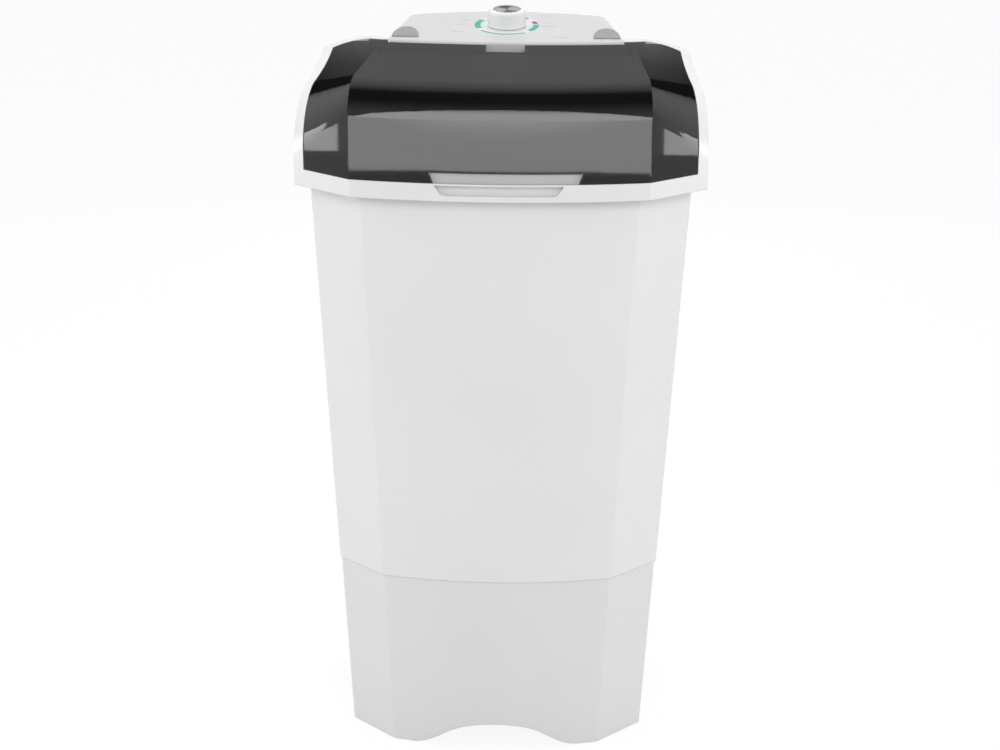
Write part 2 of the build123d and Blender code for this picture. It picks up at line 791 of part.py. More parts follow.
with BuildPart() as lid:
    add(hood())
    add(ramp(0))
    with BuildPart(mode=Mode.PRIVATE) as lid_space:
        add(hood(lid_wall))
        add(ramp(lid_wall))
    add(lid_space.part, mode=Mode.SUBTRACT)
    lid_inset = wing_thickness + lid_side_gap
    side = width / 2 - lid_inset
    reach = width / 2 + rim_rear - rim_chamfer - lid_inset * 2**0.5
    with BuildSketch(Plane.XY.offset(ledge_top + lid_seat_gap)):
        Polygon(
            (side, -depth),
            (side, reach - side),
            (reach - lid_tail_front, lid_tail_front),
            (lid_tail_half, lid_tail_front),
            (lid_tail_half, lid_rear),
            (-lid_tail_half, lid_rear),
            (-lid_tail_half, lid_tail_front),
            (lid_tail_front - reach, lid_tail_front),
            (-side, reach - side),
            (-side, -depth),
            align=None,
        )
    extrude(amount=lid_top, mode=Mode.INTERSECT)
    with Locations(
        [Location((side * knuckle_x, hinge_y, hinge_z), (0, 90, 0)) for side in (-1, 1)]
    ):
        Cylinder(knuckle_radius, knuckle_length)
    with BuildSketch(Plane.XY.offset(shelf_height)):
        with BuildLine():
            ThreePointArc((-ramp_half, ramp_end), (0, ramp_end - panel_front_bow), (ramp_half, ramp_end))
            Polyline(
                (ramp_half, ramp_end),
                (panel_side(rim_rear) + arm_gap, rim_rear),
                (-panel_side(rim_rear) - arm_gap, rim_rear),
                (-ramp_half, ramp_end),
            )
        make_face()
        with Locations((0, ramp_end - panel_front_bow - rear_notch_depth)):
            RectangleRounded(
                2 * rear_notch_half,
                2 * rear_notch_depth,
                rear_notch_corner,
                align=(Align.CENTER, Align.MIN),
            )
    extrude(amount=lid_top, mode=Mode.SUBTRACT)
    with BuildSketch(Plane.XZ.offset(depth / 4)):
        with Locations((notch_shift, 0)):
            Polygon(
                (-notch_half_low, ledge_top - 1),
                (notch_half_low, ledge_top - 1),
                (notch_half_top, ledge_top + notch_height),
                (-notch_half_top, ledge_top + notch_height),
                align=None,
            )
    extrude(amount=depth / 2, mode=Mode.SUBTRACT)
    with Locations(
        [Location((side * knuckle_x, hinge_y, hinge_z), (0, 90, 0)) for side in (-1, 1)]
    ):
        Cylinder(pin_radius + running_clearance, knuckle_length + 1, mode=Mode.SUBTRACT)

lid.part.label = "lid"
export_step(lid.part, "parts/lid.step")

# Hinge pins, tight in the frame's lugs and free in the lid's knuckles
with BuildPart() as hinge_pins:
    for side in (-1, 1):
        with Locations(Location((side * knuckle_x, hinge_y, hinge_z), (0, 90, 0))):
            Cylinder(pin_radius, knuckle_length + 2 * lug_gap + 2 * lug_width)

hinge_pins.part.label = "hinge_pins"
export_step(hinge_pins.part, "parts/hinge_pins.step")

# Plane of the knob, square to the panel's slope
knob_plane = Plane(
    (0, knob_y, panel_z(knob_y)),
    x_dir=(1, 0, 0),
    z_dir=(0, -sin(radians(panel_slope)), cos(radians(panel_slope))),
)


def on_knob(x, y, z):
    """Place on the knob's plane."""
    return knob_plane.location * Location((x, y, z))


# Control panel: a wedge-shaped cover, open below
with BuildPart() as control_panel:
    add(under_panel(0, panel_skirt_low, panel_corner))
    add(under_panel(panel_wall, panel_skirt_low - 1, panel_corner - panel_wall), mode=Mode.SUBTRACT)
    with Locations((0, pocket_rear, panel_skirt_low)):
        Box(
            width,
            depth,
            lid_top - panel_skirt_low,
            align=(Align.CENTER, Align.MIN, Align.MIN),
            mode=Mode.SUBTRACT,
        )
    with Locations(on_knob(0, 0, 0)):
        Cylinder(timer_neck_radius + timer_gap, 4 * panel_wall, mode=Mode.SUBTRACT)
    with Locations([on_knob(sx * timer_screw_x, 0, 0) for sx in (-1, 1)]):
        Cylinder(screw_radius, 4 * panel_wall, mode=Mode.SUBTRACT)
    for x, y in panel_screw_spots:
        with Locations((x, y, lid_top)):
            Cylinder(screw_radius + boss_wall, panel_z(y) - lid_top - panel_wall / 2, align=bottom_aligned)
            Cylinder(screw_radius, screw_length, align=bottom_aligned, mode=Mode.SUBTRACT)
    for x, y in front_screw_spots:
        with Locations((x, y, shelf_height + console_wall)):
            Cylinder(
                screw_radius + boss_wall,
                panel_z(y) - shelf_height - console_wall - panel_wall / 2,
                align=bottom_aligned,
            )
            Cylinder(screw_radius, screw_length, align=bottom_aligned, mode=Mode.SUBTRACT)

control_panel.part.label = "control_panel"
export_step(control_panel.part, "parts/control_panel.step")


def panel_place(x, y):
    """Plane on the panel's slope, with its normal square to it."""
    return Plane((x, y, panel_z(y)), x_dir=(1, 0, 0), z_dir=knob_plane.z_dir)


def corner_pad(side):
    """Grey pad on a front corner of the panel, flat in front and round behind."""
    with BuildPart() as pad:
        with BuildSketch(panel_place(side * pad_x, pad_front)):
            with BuildLine():
                EllipticalCenterArc((0, 0), pad_half_width, pad_length, 0, arc_size=180)
                Line((-pad_half_width, 0), (pad_half_width, 0))
            make_face()
        extrude(amount=pad_thickness)
    return pad.part


with BuildPart() as panel_pad_left:
    add(corner_pad(-1))

panel_pad_left.part.label = "panel_pad_left"
export_step(panel_pad_left.part, "parts/panel_pad_left.step")

with BuildPart() as panel_pad_right:
    add(corner_pad(1))

panel_pad_right.part.label = "panel_pad_right"
export_step(panel_pad_right.part, "parts/panel_pad_right.step")

# Printed film round the knob
with BuildPart() as dial_film:
    with Locations(on_knob(0, 0, 0)):
        Cylinder(dial_radius, film_thickness, align=bottom_aligned)
        Cylinder(dial_inner_radius, film_thickness, align=bottom_aligned, mode=Mode.SUBTRACT)

dial_film.part.label = "dial_film"
export_step(dial_film.part, "parts/dial_film.step")

# Splash box under the panel
box_inset = panel_wall + console_gap
box_rear = pocket_rear - frame_wall
box_height = panel_z(panel_front - panel_front_bow) - 2 * panel_wall - shelf_height
with BuildPart() as console_box:
    extrude(panel_plan(shelf_height, box_inset, panel_corner - panel_wall, box_rear, 0), amount=box_height)
    extrude(
        panel_plan(
            shelf_height + console_wall,
            box_inset + console_wall,
            panel_corner - panel_wall - console_wall,
            box_rear - console_wall,
            0,
        ),
        amount=box_height,
        mode=Mode.SUBTRACT,
    )
    with Locations([Location((x, y, shelf_height)) for x, y in front_screw_spots]):
        Cylinder(screw_radius, console_wall, align=bottom_aligned, mode=Mode.SUBTRACT)
    with Locations(Location((duct_x, box_rear - 2 * console_wall, wire_z), (-90, 0, 0))):
        Cylinder(harness_radius + 1, 3 * console_wall, align=bottom_aligned, mode=Mode.SUBTRACT)

console_box.part.label = "console_box"
export_step(console_box.part, "parts/console_box.step")

# Mechanical timer, screwed to the underside of the panel
panel_skin = panel_wall * cos(radians(panel_slope))
neck_top = 1.0
shaft_bottom = -20.0
shaft_end = 18.0
with BuildPart() as timer_body:
    with Locations(on_knob(0, 0, -panel_skin)):
        Box(timer_size, timer_size, timer_height, align=top_aligned)
        Cylinder(timer_neck_radius, panel_skin + neck_top, align=bottom_aligned)
    fillet(timer_body.edges().filter_by(Axis((0, 0, 0), knob_plane.z_dir)), timer_corner)
    with Locations(on_knob(0, 0, neck_top)):
        Cylinder(
            timer_shaft_radius + running_clearance,
            neck_top - shaft_bottom + 1,
            align=top_aligned,
            mode=Mode.SUBTRACT,
        )
    with Locations([on_knob(sx * timer_screw_x, 0, -panel_skin) for sx in (-1, 1)]):
        Cylinder(screw_radius, screw_length - panel_skin, align=top_aligned, mode=Mode.SUBTRACT)

timer_body.part.label = "timer_body"
export_step(timer_body.part, "parts/timer_body.step")

with BuildPart() as timer_screws:
    for sx in (-1, 1):
        add(screw(on_knob(sx * timer_screw_x, 0, 0) * Location((0, 0, 0), (180, 0, 0))))

timer_screws.part.label = "timer_screws"
export_step(timer_screws.part, "parts/timer_screws.step")

with BuildPart() as timer_shaft:
    with Locations(on_knob(0, 0, shaft_bottom)):
        Cylinder(timer_shaft_radius, shaft_end - shaft_bottom, align=bottom_aligned)

timer_shaft.part.label = "timer_shaft"
export_step(timer_shaft.part, "parts/timer_shaft.step")

# Knob: hollow turning cap with a wider rim, a grip of fine ribs and a hub for the shaft
with BuildPart() as timer_knob:
    with Locations(on_knob(0, 0, knob_gap)):
        Cylinder(knob_rim_radius, knob_rim_height, align=bottom_aligned)
        Cylinder(knob_radius, knob_height - knob_gap, align=bottom_aligned)
    fillet(timer_knob.edges().sort_by(Axis((0, 0, 0), knob_plane.z_dir))[-1], 2.0)
    with Locations(on_knob(0, 0, knob_gap)):
        Cylinder(
            knob_radius - knob_wall, knob_height - 2 * knob_wall, align=bottom_aligned, mode=Mode.SUBTRACT
        )
    with Locations(on_knob(0, 0, 4 * neck_top)):
        Cylinder(knob_hub_radius, knob_height - 5 * neck_top, align=bottom_aligned)
        Cylinder(timer_shaft_radius, shaft_end - 4 * neck_top, align=bottom_aligned, mode=Mode.SUBTRACT)
    with Locations(on_knob(0, 0, knob_height - insert_thickness)):
        Cylinder(insert_radius, 2 * insert_thickness, align=bottom_aligned, mode=Mode.SUBTRACT)

timer_knob.part.label = "timer_knob"
export_step(timer_knob.part, "parts/timer_knob.step")

with BuildPart() as knob_insert:
    with Locations(on_knob(0, 0, knob_height - insert_thickness)):
        Cylinder(insert_radius, insert_thickness, align=bottom_aligned)

knob_insert.part.label = "knob_insert"
export_step(knob_insert.part, "parts/knob_insert.step")

# Screws of the panel, the frame and the base
with BuildPart() as panel_screws:
    for x, y in panel_screw_spots:
        add(screw(Location((x, y, lid_top - frame_wall))))
    for x, y in front_screw_spots:
        add(screw(Location((x, y, shelf_height - frame_wall))))

panel_screws.part.label = "panel_screws"
export_step(panel_screws.part, "parts/panel_screws.step")

with BuildPart() as frame_screws:
    for x, y in frame_screw_spots:
        add(screw(Location((x, y, tank_top - tank_flange))))

frame_screws.part.label = "frame_screws"
export_step(frame_screws.part, "parts/frame_screws.step")

with BuildPart() as base_screws:
    for place in lug_places:
        add(screw(place))

base_screws.part.label = "base_screws"
export_step(base_screws.part, "parts/base_screws.step")

# Bearing housing: flanged tube through the tub's floor, with ribs between tube and flange
housing_top = tub_floor
housing_low = housing_top - seal_height - bush_flange - housing_length + 2 * bush_flange
flange_top = dish_under
seal_low = housing_top - seal_height
bush_seat = seal_low - bush_flange
gusset_count = 6
gusset_drop = 30.0
with BuildPart() as bearing_housing:
    with Locations((0, drive_y, housing_low)):
        Cylinder(housing_radius, housing_top - housing_low, align=bottom_aligned)
    with Locations((0, drive_y, flange_top)):
        Cylinder(housing_flange_radius, housing_flange, align=top_aligned)
    gusset_plane = Plane((0, drive_y, flange_top - housing_flange), x_dir=(1, 0, 0), z_dir=(0, -1, 0))
    with BuildSketch(gusset_plane):
        Polygon(
            (housing_radius - 1, 1),
            (housing_flange_radius - 2, 1),
            (housing_radius - 1, -gusset_drop),
            align=None,
        )
    gusset = extrude(amount=2, both=True)
    for i in range(1, gusset_count):
        add(gusset.rotate(Axis((0, drive_y, 0), (0, 0, 1)), i * 360 / gusset_count))
    with Locations((0, drive_y, housing_low)):
        Cylinder(bush_radius, housing_top - housing_low, align=bottom_aligned, mode=Mode.SUBTRACT)
    with Locations((0, drive_y, bush_seat)):
        Cylinder(seal_radius, housing_top - bush_seat, align=bottom_aligned, mode=Mode.SUBTRACT)
    with Locations((0, drive_y, housing_low + bush_length + 4)):
        Cylinder(
            bush_radius + 3,
            bush_seat - housing_low - 2 * bush_length - 8,
            align=bottom_aligned,
            mode=Mode.SUBTRACT,
        )

bearing_housing.part.label = "bearing_housing"
export_step(bearing_housing.part, "parts/bearing_housing.step")

with BuildPart() as upper_bush:
    with Locations((0, drive_y, bush_seat)):
        Cylinder(seal_radius, bush_flange, align=bottom_aligned)
        Cylinder(bush_radius, bush_length, align=top_aligned)
        Cylinder(shaft_radius + running_clearance, 3 * bush_length, mode=Mode.SUBTRACT)

upper_bush.part.label = "upper_bush"
export_step(upper_bush.part, "parts/upper_bush.step")

with BuildPart() as lower_bush:
    with Locations((0, drive_y, housing_low)):
        Cylinder(seal_radius, bush_flange, align=top_aligned)
        Cylinder(bush_radius, bush_length, align=bottom_aligned)
        Cylinder(shaft_radius + running_clearance, 3 * bush_length, mode=Mode.SUBTRACT)

lower_bush.part.label = "lower_bush"
export_step(lower_bush.part, "parts/lower_bush.step")

with BuildPart() as shaft_seal:
    with Locations((0, drive_y, seal_low)):
        Cylinder(seal_radius, seal_height, align=bottom_aligned)
        Cylinder(shaft_radius + running_clearance, seal_height, align=bottom_aligned, mode=Mode.SUBTRACT)
    with Locations((0, drive_y, housing_top)):
        Torus((seal_radius + shaft_radius) / 2, 1.5, mode=Mode.SUBTRACT)

shaft_seal.part.label = "shaft_seal"
export_step(shaft_seal.part, "parts/shaft_seal.step")

with BuildPart() as housing_nut:
    with Locations((0, drive_y, dish_top)):
        Cylinder(ring_nut_radius, dish_depth, align=bottom_aligned)
        Cylinder(housing_radius, dish_depth, align=bottom_aligned, mode=Mode.SUBTRACT)
    with Locations((0, drive_y, housing_top)):
        with PolarLocations(ring_nut_radius, ring_nut_slots):
            Cylinder(ring_nut_slot_radius, dish_depth, align=top_aligned, mode=Mode.SUBTRACT)

housing_nut.part.label = "housing_nut"
export_step(housing_nut.part, "parts/housing_nut.step")

# Agitator on top of the drive shaft
agitator_low = dish_top + agitator_gap
disc_top = agitator_low + agitator_edge
hub_top = agitator_low + hub_height
hub_root = agitator_low + hub_root_height
disc_rise = 12.0
hub_flare = 6.0
boss_radius = 2 * shaft_radius
with BuildPart() as agitator:
    with BuildSketch(Plane.XZ.offset(-drive_y)):
        Polygon(
            (agitator_radius, agitator_low),
            (agitator_radius, disc_top),
            (hub_root_radius + 2 * hub_flare, disc_top + disc_rise),
            (hub_radius + hub_flare, hub_root + hub_flare),
            (hub_radius, hub_top),
            (0, hub_top),
            (0, hub_top - agitator_wall),
            (hub_radius - agitator_wall, hub_top - agitator_wall),
            (hub_radius + hub_flare - agitator_wall, hub_root + hub_flare - agitator_wall / 2),
            (hub_root_radius + hub_flare, disc_top + disc_rise - agitator_wall),
            (agitator_radius - agitator_wall, disc_top - agitator_wall),
            (agitator_radius - agitator_wall, agitator_low),
            align=None,
        )
    revolve(axis=Axis((0, drive_y, 0), (0, 0, 1)))
    with BuildSketch(Plane.XZ.offset(-drive_y)):
        Polygon(
            (vane_reach, disc_top + 0.5),
            (vane_reach - 4, agitator_low + vane_tip_height / 2),
            (vane_reach * 0.75, agitator_low + vane_tip_height),
            (hub_root_radius, agitator_low + vane_root_height * 0.8),
            (hub_radius - 1, hub_top - 2 * agitator_wall),
            (hub_radius - 2.5, hub_top - 2 * agitator_wall),
            (hub_radius + hub_flare - 2.5, hub_root + hub_flare - agitator_wall / 2),
            (hub_root_radius + 2 * hub_flare - 2, disc_top + disc_rise - 2.5),
            align=None,
        )
    first_vane = extrude(amount=vane_wall / 2, both=True)
    for i in range(1, vane_count):
        add(first_vane.rotate(Axis((0, drive_y, 0), (0, 0, 1)), i * 360 / vane_count))
    with Locations((0, drive_y, hub_root)):
        Cylinder(boss_radius, hub_top - agitator_wall / 2 - hub_root, align=bottom_aligned)
        Cylinder(shaft_radius, shaft_top - hub_root, align=bottom_aligned, mode=Mode.SUBTRACT)
        Cylinder(shaft_radius / 2, hub_height, align=bottom_aligned, mode=Mode.SUBTRACT)

agitator.part.label = "agitator"
export_step(agitator.part, "parts/agitator.step")

with BuildPart() as agitator_cap:
    with Locations((0, drive_y, hub_top)):
        Cylinder(cap_radius, cap_height, align=bottom_aligned)
    fillet(agitator_cap.edges().sort_by(Axis.Z)[-1], cap_height * 0.7)
    with Locations((0, drive_y, hub_top)):
        Cylinder(cap_radius - 2 * cap_wall, cap_height - cap_wall, align=bottom_aligned, mode=Mode.SUBTRACT)

agitator_cap.part.label = "agitator_cap"
export_step(agitator_cap.part, "parts/agitator_cap.step")

with BuildPart() as agitator_screw:
    with Locations((0, drive_y, hub_top)):
        Cylinder(shaft_radius + 1, 4, align=bottom_aligned)
        Cylinder(shaft_radius / 2, hub_top - shaft_top + screw_length, align=top_aligned)
    with Locations((0, drive_y, hub_top + 4)):
        Box(slot_width, 3 * shaft_radius, slot_depth, align=top_aligned, mode=Mode.SUBTRACT)
        Box(3 * shaft_radius, slot_width, slot_depth, align=top_aligned, mode=Mode.SUBTRACT)

agitator_screw.part.label = "agitator_screw"
export_step(agitator_screw.part, "parts/agitator_screw.step")

with BuildPart() as drive_shaft:
    with Locations((0, drive_y, pulley_low - pulley_nut_height - 2)):
        Cylinder(shaft_radius, shaft_top - pulley_low + pulley_nut_height + 2, align=bottom_aligned)
    with Locations((0, drive_y, shaft_top)):
        Cylinder(shaft_radius / 2, screw_length + 1, align=top_aligned, mode=Mode.SUBTRACT)

drive_shaft.part.label = "drive_shaft"
export_step(drive_shaft.part, "parts/drive_shaft.step")

# Belt drive
rim_wall = 6.0
web_thickness = 6.0
belt_height = groove_width - 2 * belt_clearance
groove_low = pulley_low + (pulley_width - groove_width) / 2
lightening_count = 6
with BuildPart() as drive_pulley:
    with Locations((0, drive_y, pulley_low)):
        Cylinder(pulley_radius, pulley_width, align=bottom_aligned)
    with Locations((0, drive_y, groove_low)):
        Cylinder(pulley_radius + 1, groove_width, align=bottom_aligned, mode=Mode.SUBTRACT)
        Cylinder(pulley_radius - groove_depth, groove_width, align=bottom_aligned)
    with Locations((0, drive_y, pulley_low)):
        Cylinder(
            pulley_radius - groove_depth - rim_wall, pulley_width, align=bottom_aligned, mode=Mode.SUBTRACT
        )
    with Locations((0, drive_y, pulley_low + (pulley_width - web_thickness) / 2)):
        Cylinder(pulley_radius - groove_depth - rim_wall / 2, web_thickness, align=bottom_aligned)
        with PolarLocations(pulley_radius * 0.55, lightening_count):
            Cylinder(pulley_radius * 0.18, web_thickness, align=bottom_aligned, mode=Mode.SUBTRACT)
    with Locations((0, drive_y, pulley_low)):
        Cylinder(pulley_hub_radius, pulley_hub_height, align=bottom_aligned)
        Cylinder(shaft_radius, pulley_hub_height, align=bottom_aligned, mode=Mode.SUBTRACT)

drive_pulley.part.label = "drive_pulley"
export_step(drive_pulley.part, "parts/drive_pulley.step")

with BuildPart() as spacer_tube:
    spacer_low = pulley_low + pulley_hub_height
    spacer_length = housing_low - bush_flange - timer_gap - spacer_low
    with Locations((0, drive_y, spacer_low)):
        Cylinder(shaft_radius + 3, spacer_length, align=bottom_aligned)
        Cylinder(shaft_radius, spacer_length, align=bottom_aligned, mode=Mode.SUBTRACT)

spacer_tube.part.label = "spacer_tube"
export_step(spacer_tube.part, "parts/spacer_tube.step")

with BuildPart() as pulley_nut:
    with BuildSketch(Plane((0, drive_y, pulley_low))):
        RegularPolygon(pulley_nut_radius, 6)
        Circle(shaft_radius, mode=Mode.SUBTRACT)
    extrude(amount=-pulley_nut_height)

pulley_nut.part.label = "pulley_nut"
export_step(pulley_nut.part, "parts/pulley_nut.step")

with BuildPart() as motor_pulley:
    with Locations((0, motor_y, pulley_low)):
        Cylinder(motor_pulley_radius, pulley_width, align=bottom_aligned)
    with Locations((0, motor_y, groove_low)):
        Cylinder(motor_pulley_radius + 1, groove_width, align=bottom_aligned, mode=Mode.SUBTRACT)
        Cylinder(motor_pulley_radius - groove_depth, groove_width, align=bottom_aligned)
    with Locations((0, motor_y, pulley_low)):
        Cylinder(shaft_radius, pulley_width, align=bottom_aligned, mode=Mode.SUBTRACT)

motor_pulley.part.label = "motor_pulley"
export_step(motor_pulley.part, "parts/motor_pulley.step")


def belt_loop(proud):
    """Outline round both pulleys at a distance outside the bottom of their grooves."""
    with BuildSketch(Plane.XY.offset(groove_low + belt_clearance)) as loop:
        with Locations((0, drive_y)):
            Circle(pulley_radius - groove_depth + proud)
        with Locations((0, motor_y)):
            Circle(motor_pulley_radius - groove_depth + proud)
        make_hull()
    return loop.sketch


with BuildPart() as drive_belt:
    extrude(belt_loop(groove_depth - 2 * belt_clearance), amount=belt_height)
    extrude(belt_loop(belt_clearance), amount=belt_height, mode=Mode.SUBTRACT)

drive_belt.part.label = "drive_belt"
export_step(drive_belt.part, "parts/drive_belt.step")

# Motor hung under the tub's floor
stator_top = motor_top - bell_height
stator_low = stator_top - stator_height
motor_low = stator_low - bell_height
vent_count = 8


def motor_bell(direction):
    """Cup over one end of the stator, with a bearing boss and vents."""
    seat = stator_top if direction > 0 else stator_low
    away = bottom_aligned if direction > 0 else top_aligned
    with BuildPart() as bell:
        with Locations((0, motor_y, seat)):
            Cylinder(motor_radius, bell_height, align=away)
        fillet(bell.edges().sort_by(Axis.Z)[-1 if direction > 0 else 0], bell_corner)
        with Locations((0, motor_y, seat)):
            Cylinder(motor_radius - bell_wall, bell_height - bell_wall, align=away, mode=Mode.SUBTRACT)
        with Locations((0, motor_y, seat + direction * (winding_height + 1))):
            Cylinder(boss_radius, bell_height - winding_height - 2, align=away)
        with Locations((0, motor_y, seat)):
            Cylinder(shaft_radius + running_clearance, 3 * bell_height, mode=Mode.SUBTRACT)
            with PolarLocations(motor_radius * 0.5, vent_count, 360 / vent_count / 2):
                Cylinder(vent_radius, 3 * bell_height, mode=Mode.SUBTRACT)
        with Locations([Location((x, y, seat)) for x, y in motor_bolt_spots]):
            Cylinder(bolt_radius + 2, bell_height, align=away)
            Cylinder(bolt_radius, 3 * bell_height, mode=Mode.SUBTRACT)
    return bell.part


with BuildPart() as motor_upper_bell:
    add(motor_bell(1))

motor_upper_bell.part.label = "motor_upper_bell"
export_step(motor_upper_bell.part, "parts/motor_upper_bell.step")

with BuildPart() as motor_lower_bell:
    add(motor_bell(-1))

motor_lower_bell.part.label = "motor_lower_bell"
export_step(motor_lower_bell.part, "parts/motor_lower_bell.step")

with BuildPart() as stator_core:
    with Locations((0, motor_y, stator_low)):
        Cylinder(motor_radius, stator_height, align=bottom_aligned)
        Cylinder(rotor_radius + rotor_gap, stator_height, align=bottom_aligned, mode=Mode.SUBTRACT)
    with Locations([Location((x, y, stator_low)) for x, y in motor_bolt_spots]):
        Cylinder(bolt_radius, stator_height, align=bottom_aligned, mode=Mode.SUBTRACT)

stator_core.part.label = "stator_core"
export_step(stator_core.part, "parts/stator_core.step")

with BuildPart() as stator_windings:
    for height, away in ((stator_top, bottom_aligned), (stator_low, top_aligned)):
        with Locations((0, motor_y, height)):
            Cylinder(winding_radius, winding_height, align=away)
            Cylinder(winding_inner_radius, winding_height, align=away, mode=Mode.SUBTRACT)
    outer_edges = stator_windings.edges().filter_by(GeomType.CIRCLE).group_by(Axis.Z)
    fillet([*outer_edges[0], *outer_edges[-1]], 3)

stator_windings.part.label = "stator_windings"
export_step(stator_windings.part, "parts/stator_windings.step")

with BuildPart() as rotor_core:
    with Locations((0, motor_y, stator_low)):
        Cylinder(rotor_radius, stator_height, align=bottom_aligned)
        Cylinder(shaft_radius, stator_height, align=bottom_aligned, mode=Mode.SUBTRACT)

rotor_core.part.label = "rotor_core"
export_step(rotor_core.part, "parts/rotor_core.step")

with BuildPart() as rotor_shaft:
    with Locations((0, motor_y, pulley_low - shaft_radius)):
        Cylinder(shaft_radius, motor_top - 4 - pulley_low + shaft_radius, align=bottom_aligned)

rotor_shaft.part.label = "rotor_shaft"
export_step(rotor_shaft.part, "parts/rotor_shaft.step")

bolt_end = bracket_top + 5
bolt_head = 3.0
with BuildPart() as motor_bolts:
    for x, y in motor_bolt_spots:
        with Locations((x, y, motor_low - bolt_head)):
            Cylinder(bolt_radius, bolt_end - motor_low + bolt_head, align=bottom_aligned)
            Cylinder(bolt_radius * 2, bolt_head, align=bottom_aligned)
        with Locations((x, y, bracket_top)):
            Cylinder(bolt_radius * 2, bolt_head, align=bottom_aligned)

motor_bolts.part.label = "motor_bolts"
export_step(motor_bolts.part, "parts/motor_bolts.step")

with BuildPart() as motor_grommets:
    for x, y in motor_bolt_spots:
        with Locations((x, y, motor_top)):
            Cylinder(grommet_radius, grommet_height, align=bottom_aligned)
            Cylinder(bolt_radius, grommet_height, align=bottom_aligned, mode=Mode.SUBTRACT)

motor_grommets.part.label = "motor_grommets"
export_step(motor_grommets.part, "parts/motor_grommets.step")

# Steel bracket between the tub's posts and the motor
with BuildPart() as motor_bracket:
    with Locations((0, motor_y, bracket_top)):
        Box(2 * bracket_half_width, 2 * bracket_half_length, bracket_wall, align=top_aligned)
    fillet(motor_bracket.edges().filter_by(Axis.Z), bracket_corner)
    with Locations((0, motor_y, bracket_top)):
        Cylinder(2 * boss_radius, bracket_wall, align=top_aligned, mode=Mode.SUBTRACT)
    with Locations([Location((x, y, bracket_top)) for x, y in post_places]):
        Cylinder(screw_radius, bracket_wall, align=top_aligned, mode=Mode.SUBTRACT)
    with Locations([Location((x, y, bracket_top)) for x, y in motor_bolt_spots]):
        Cylinder(bolt_radius, bracket_wall, align=top_aligned, mode=Mode.SUBTRACT)

motor_bracket.part.label = "motor_bracket"
export_step(motor_bracket.part, "parts/motor_bracket.step")

with BuildPart() as bracket_screws:
    for x, y in post_places:
        add(screw(Location((x, y, bracket_top - bracket_wall))))

bracket_screws.part.label = "bracket_screws"
export_step(bracket_screws.part, "parts/bracket_screws.step")

# Run capacitor in its clip, beside the motor
bracket_low = bracket_top - bracket_wall
strap_top = bracket_low
with BuildPart() as capacitor:
    with Locations((capacitor_x, capacitor_y, strap_top - bracket_wall)):
        Cylinder(capacitor_radius, capacitor_length, align=top_aligned)
    fillet(capacitor.edges().filter_by(GeomType.CIRCLE), 1.5)
    for sx in (-1, 1):
        with Locations((capacitor_x + sx * tab_x, capacitor_y, strap_top - bracket_wall - capacitor_length)):
            Box(*tab_size, align=top_aligned)

capacitor.part.label = "capacitor"
export_step(capacitor.part, "parts/capacitor.step")

with BuildPart() as capacitor_clip:
    strap_reach = capacitor_x - capacitor_radius - clip_wall
    with Locations((strap_reach, capacitor_y, strap_top)):
        Box(-post_x + 2 - strap_reach, 16, bracket_wall, align=(Align.MIN, Align.CENTER, Align.MAX))
    with Locations((capacitor_x, capacitor_y, strap_top)):
        Cylinder(capacitor_radius + clip_wall, clip_height + bracket_wall, align=top_aligned)
    with Locations((capacitor_x, capacitor_y, strap_top - bracket_wall)):
        Cylinder(capacitor_radius, clip_height, align=top_aligned, mode=Mode.SUBTRACT)

capacitor_clip.part.label = "capacitor_clip"
export_step(capacitor_clip.part, "parts/capacitor_clip.step")

# Gravity drain: grille, outlet through the floor, bent hose and spigot through the base
grille_wall = 2.0
grille_pitch = 6.0
grille_slots = 5
grille_slot = (3.0, 24.0, 6.0)
with BuildPart() as drain_grille:
    with Locations((drain_x, drain_y, tub_floor)):
        Cylinder(drain_flange_radius, grille_wall, align=bottom_aligned)
        with GridLocations(grille_pitch, 1, grille_slots, 1):
            Box(*grille_slot, mode=Mode.SUBTRACT)

drain_grille.part.label = "drain_grille"
export_step(drain_grille.part, "parts/drain_grille.step")

outlet_low = tub_under - 38
with BuildPart() as drain_outlet:
    with Locations((drain_x, drain_y, tub_under)):
        Cylinder(drain_hole_radius, tub_floor_wall, align=bottom_aligned)
        Cylinder(drain_flange_radius, drain_wall, align=top_aligned)
        Cylinder(drain_tube, tub_under - outlet_low, align=top_aligned)
        Cylinder(
            drain_hole_radius - drain_wall, tub_floor_wall, align=bottom_aligned, mode=Mode.SUBTRACT
        )
        Cylinder(drain_bore, tub_under - outlet_low, align=top_aligned, mode=Mode.SUBTRACT)

drain_outlet.part.label = "drain_outlet"
export_step(drain_outlet.part, "parts/drain_outlet.step")

hose_top = tub_under - drain_wall - 6
hose_end = rear_wall(drain_z) - 8
hose_bore = drain_tube + hose_clearance
hose_outer = hose_bore + hose_wall
with BuildPart() as drain_hose:
    with BuildLine() as hose_path:
        FilletPolyline(
            (drain_x, drain_y, hose_top),
            (drain_x, drain_y, drain_z),
            (drain_x, hose_end, drain_z),
            radius=hose_bend,
        )
    with BuildSketch(Plane((drain_x, drain_y, hose_top), z_dir=(0, 0, -1))):
        Circle(hose_outer)
        Circle(hose_bore, mode=Mode.SUBTRACT)
    sweep(path=hose_path.line)

drain_hose.part.label = "drain_hose"
export_step(drain_hose.part, "parts/drain_hose.step")


def wall_place(x, height, inset):
    """Place on the leaning rear wall, with +Z out of it."""
    return Plane((x, rear_wall(height, inset), height), x_dir=(1, 0, 0), z_dir=(0, 1, -draft)).location


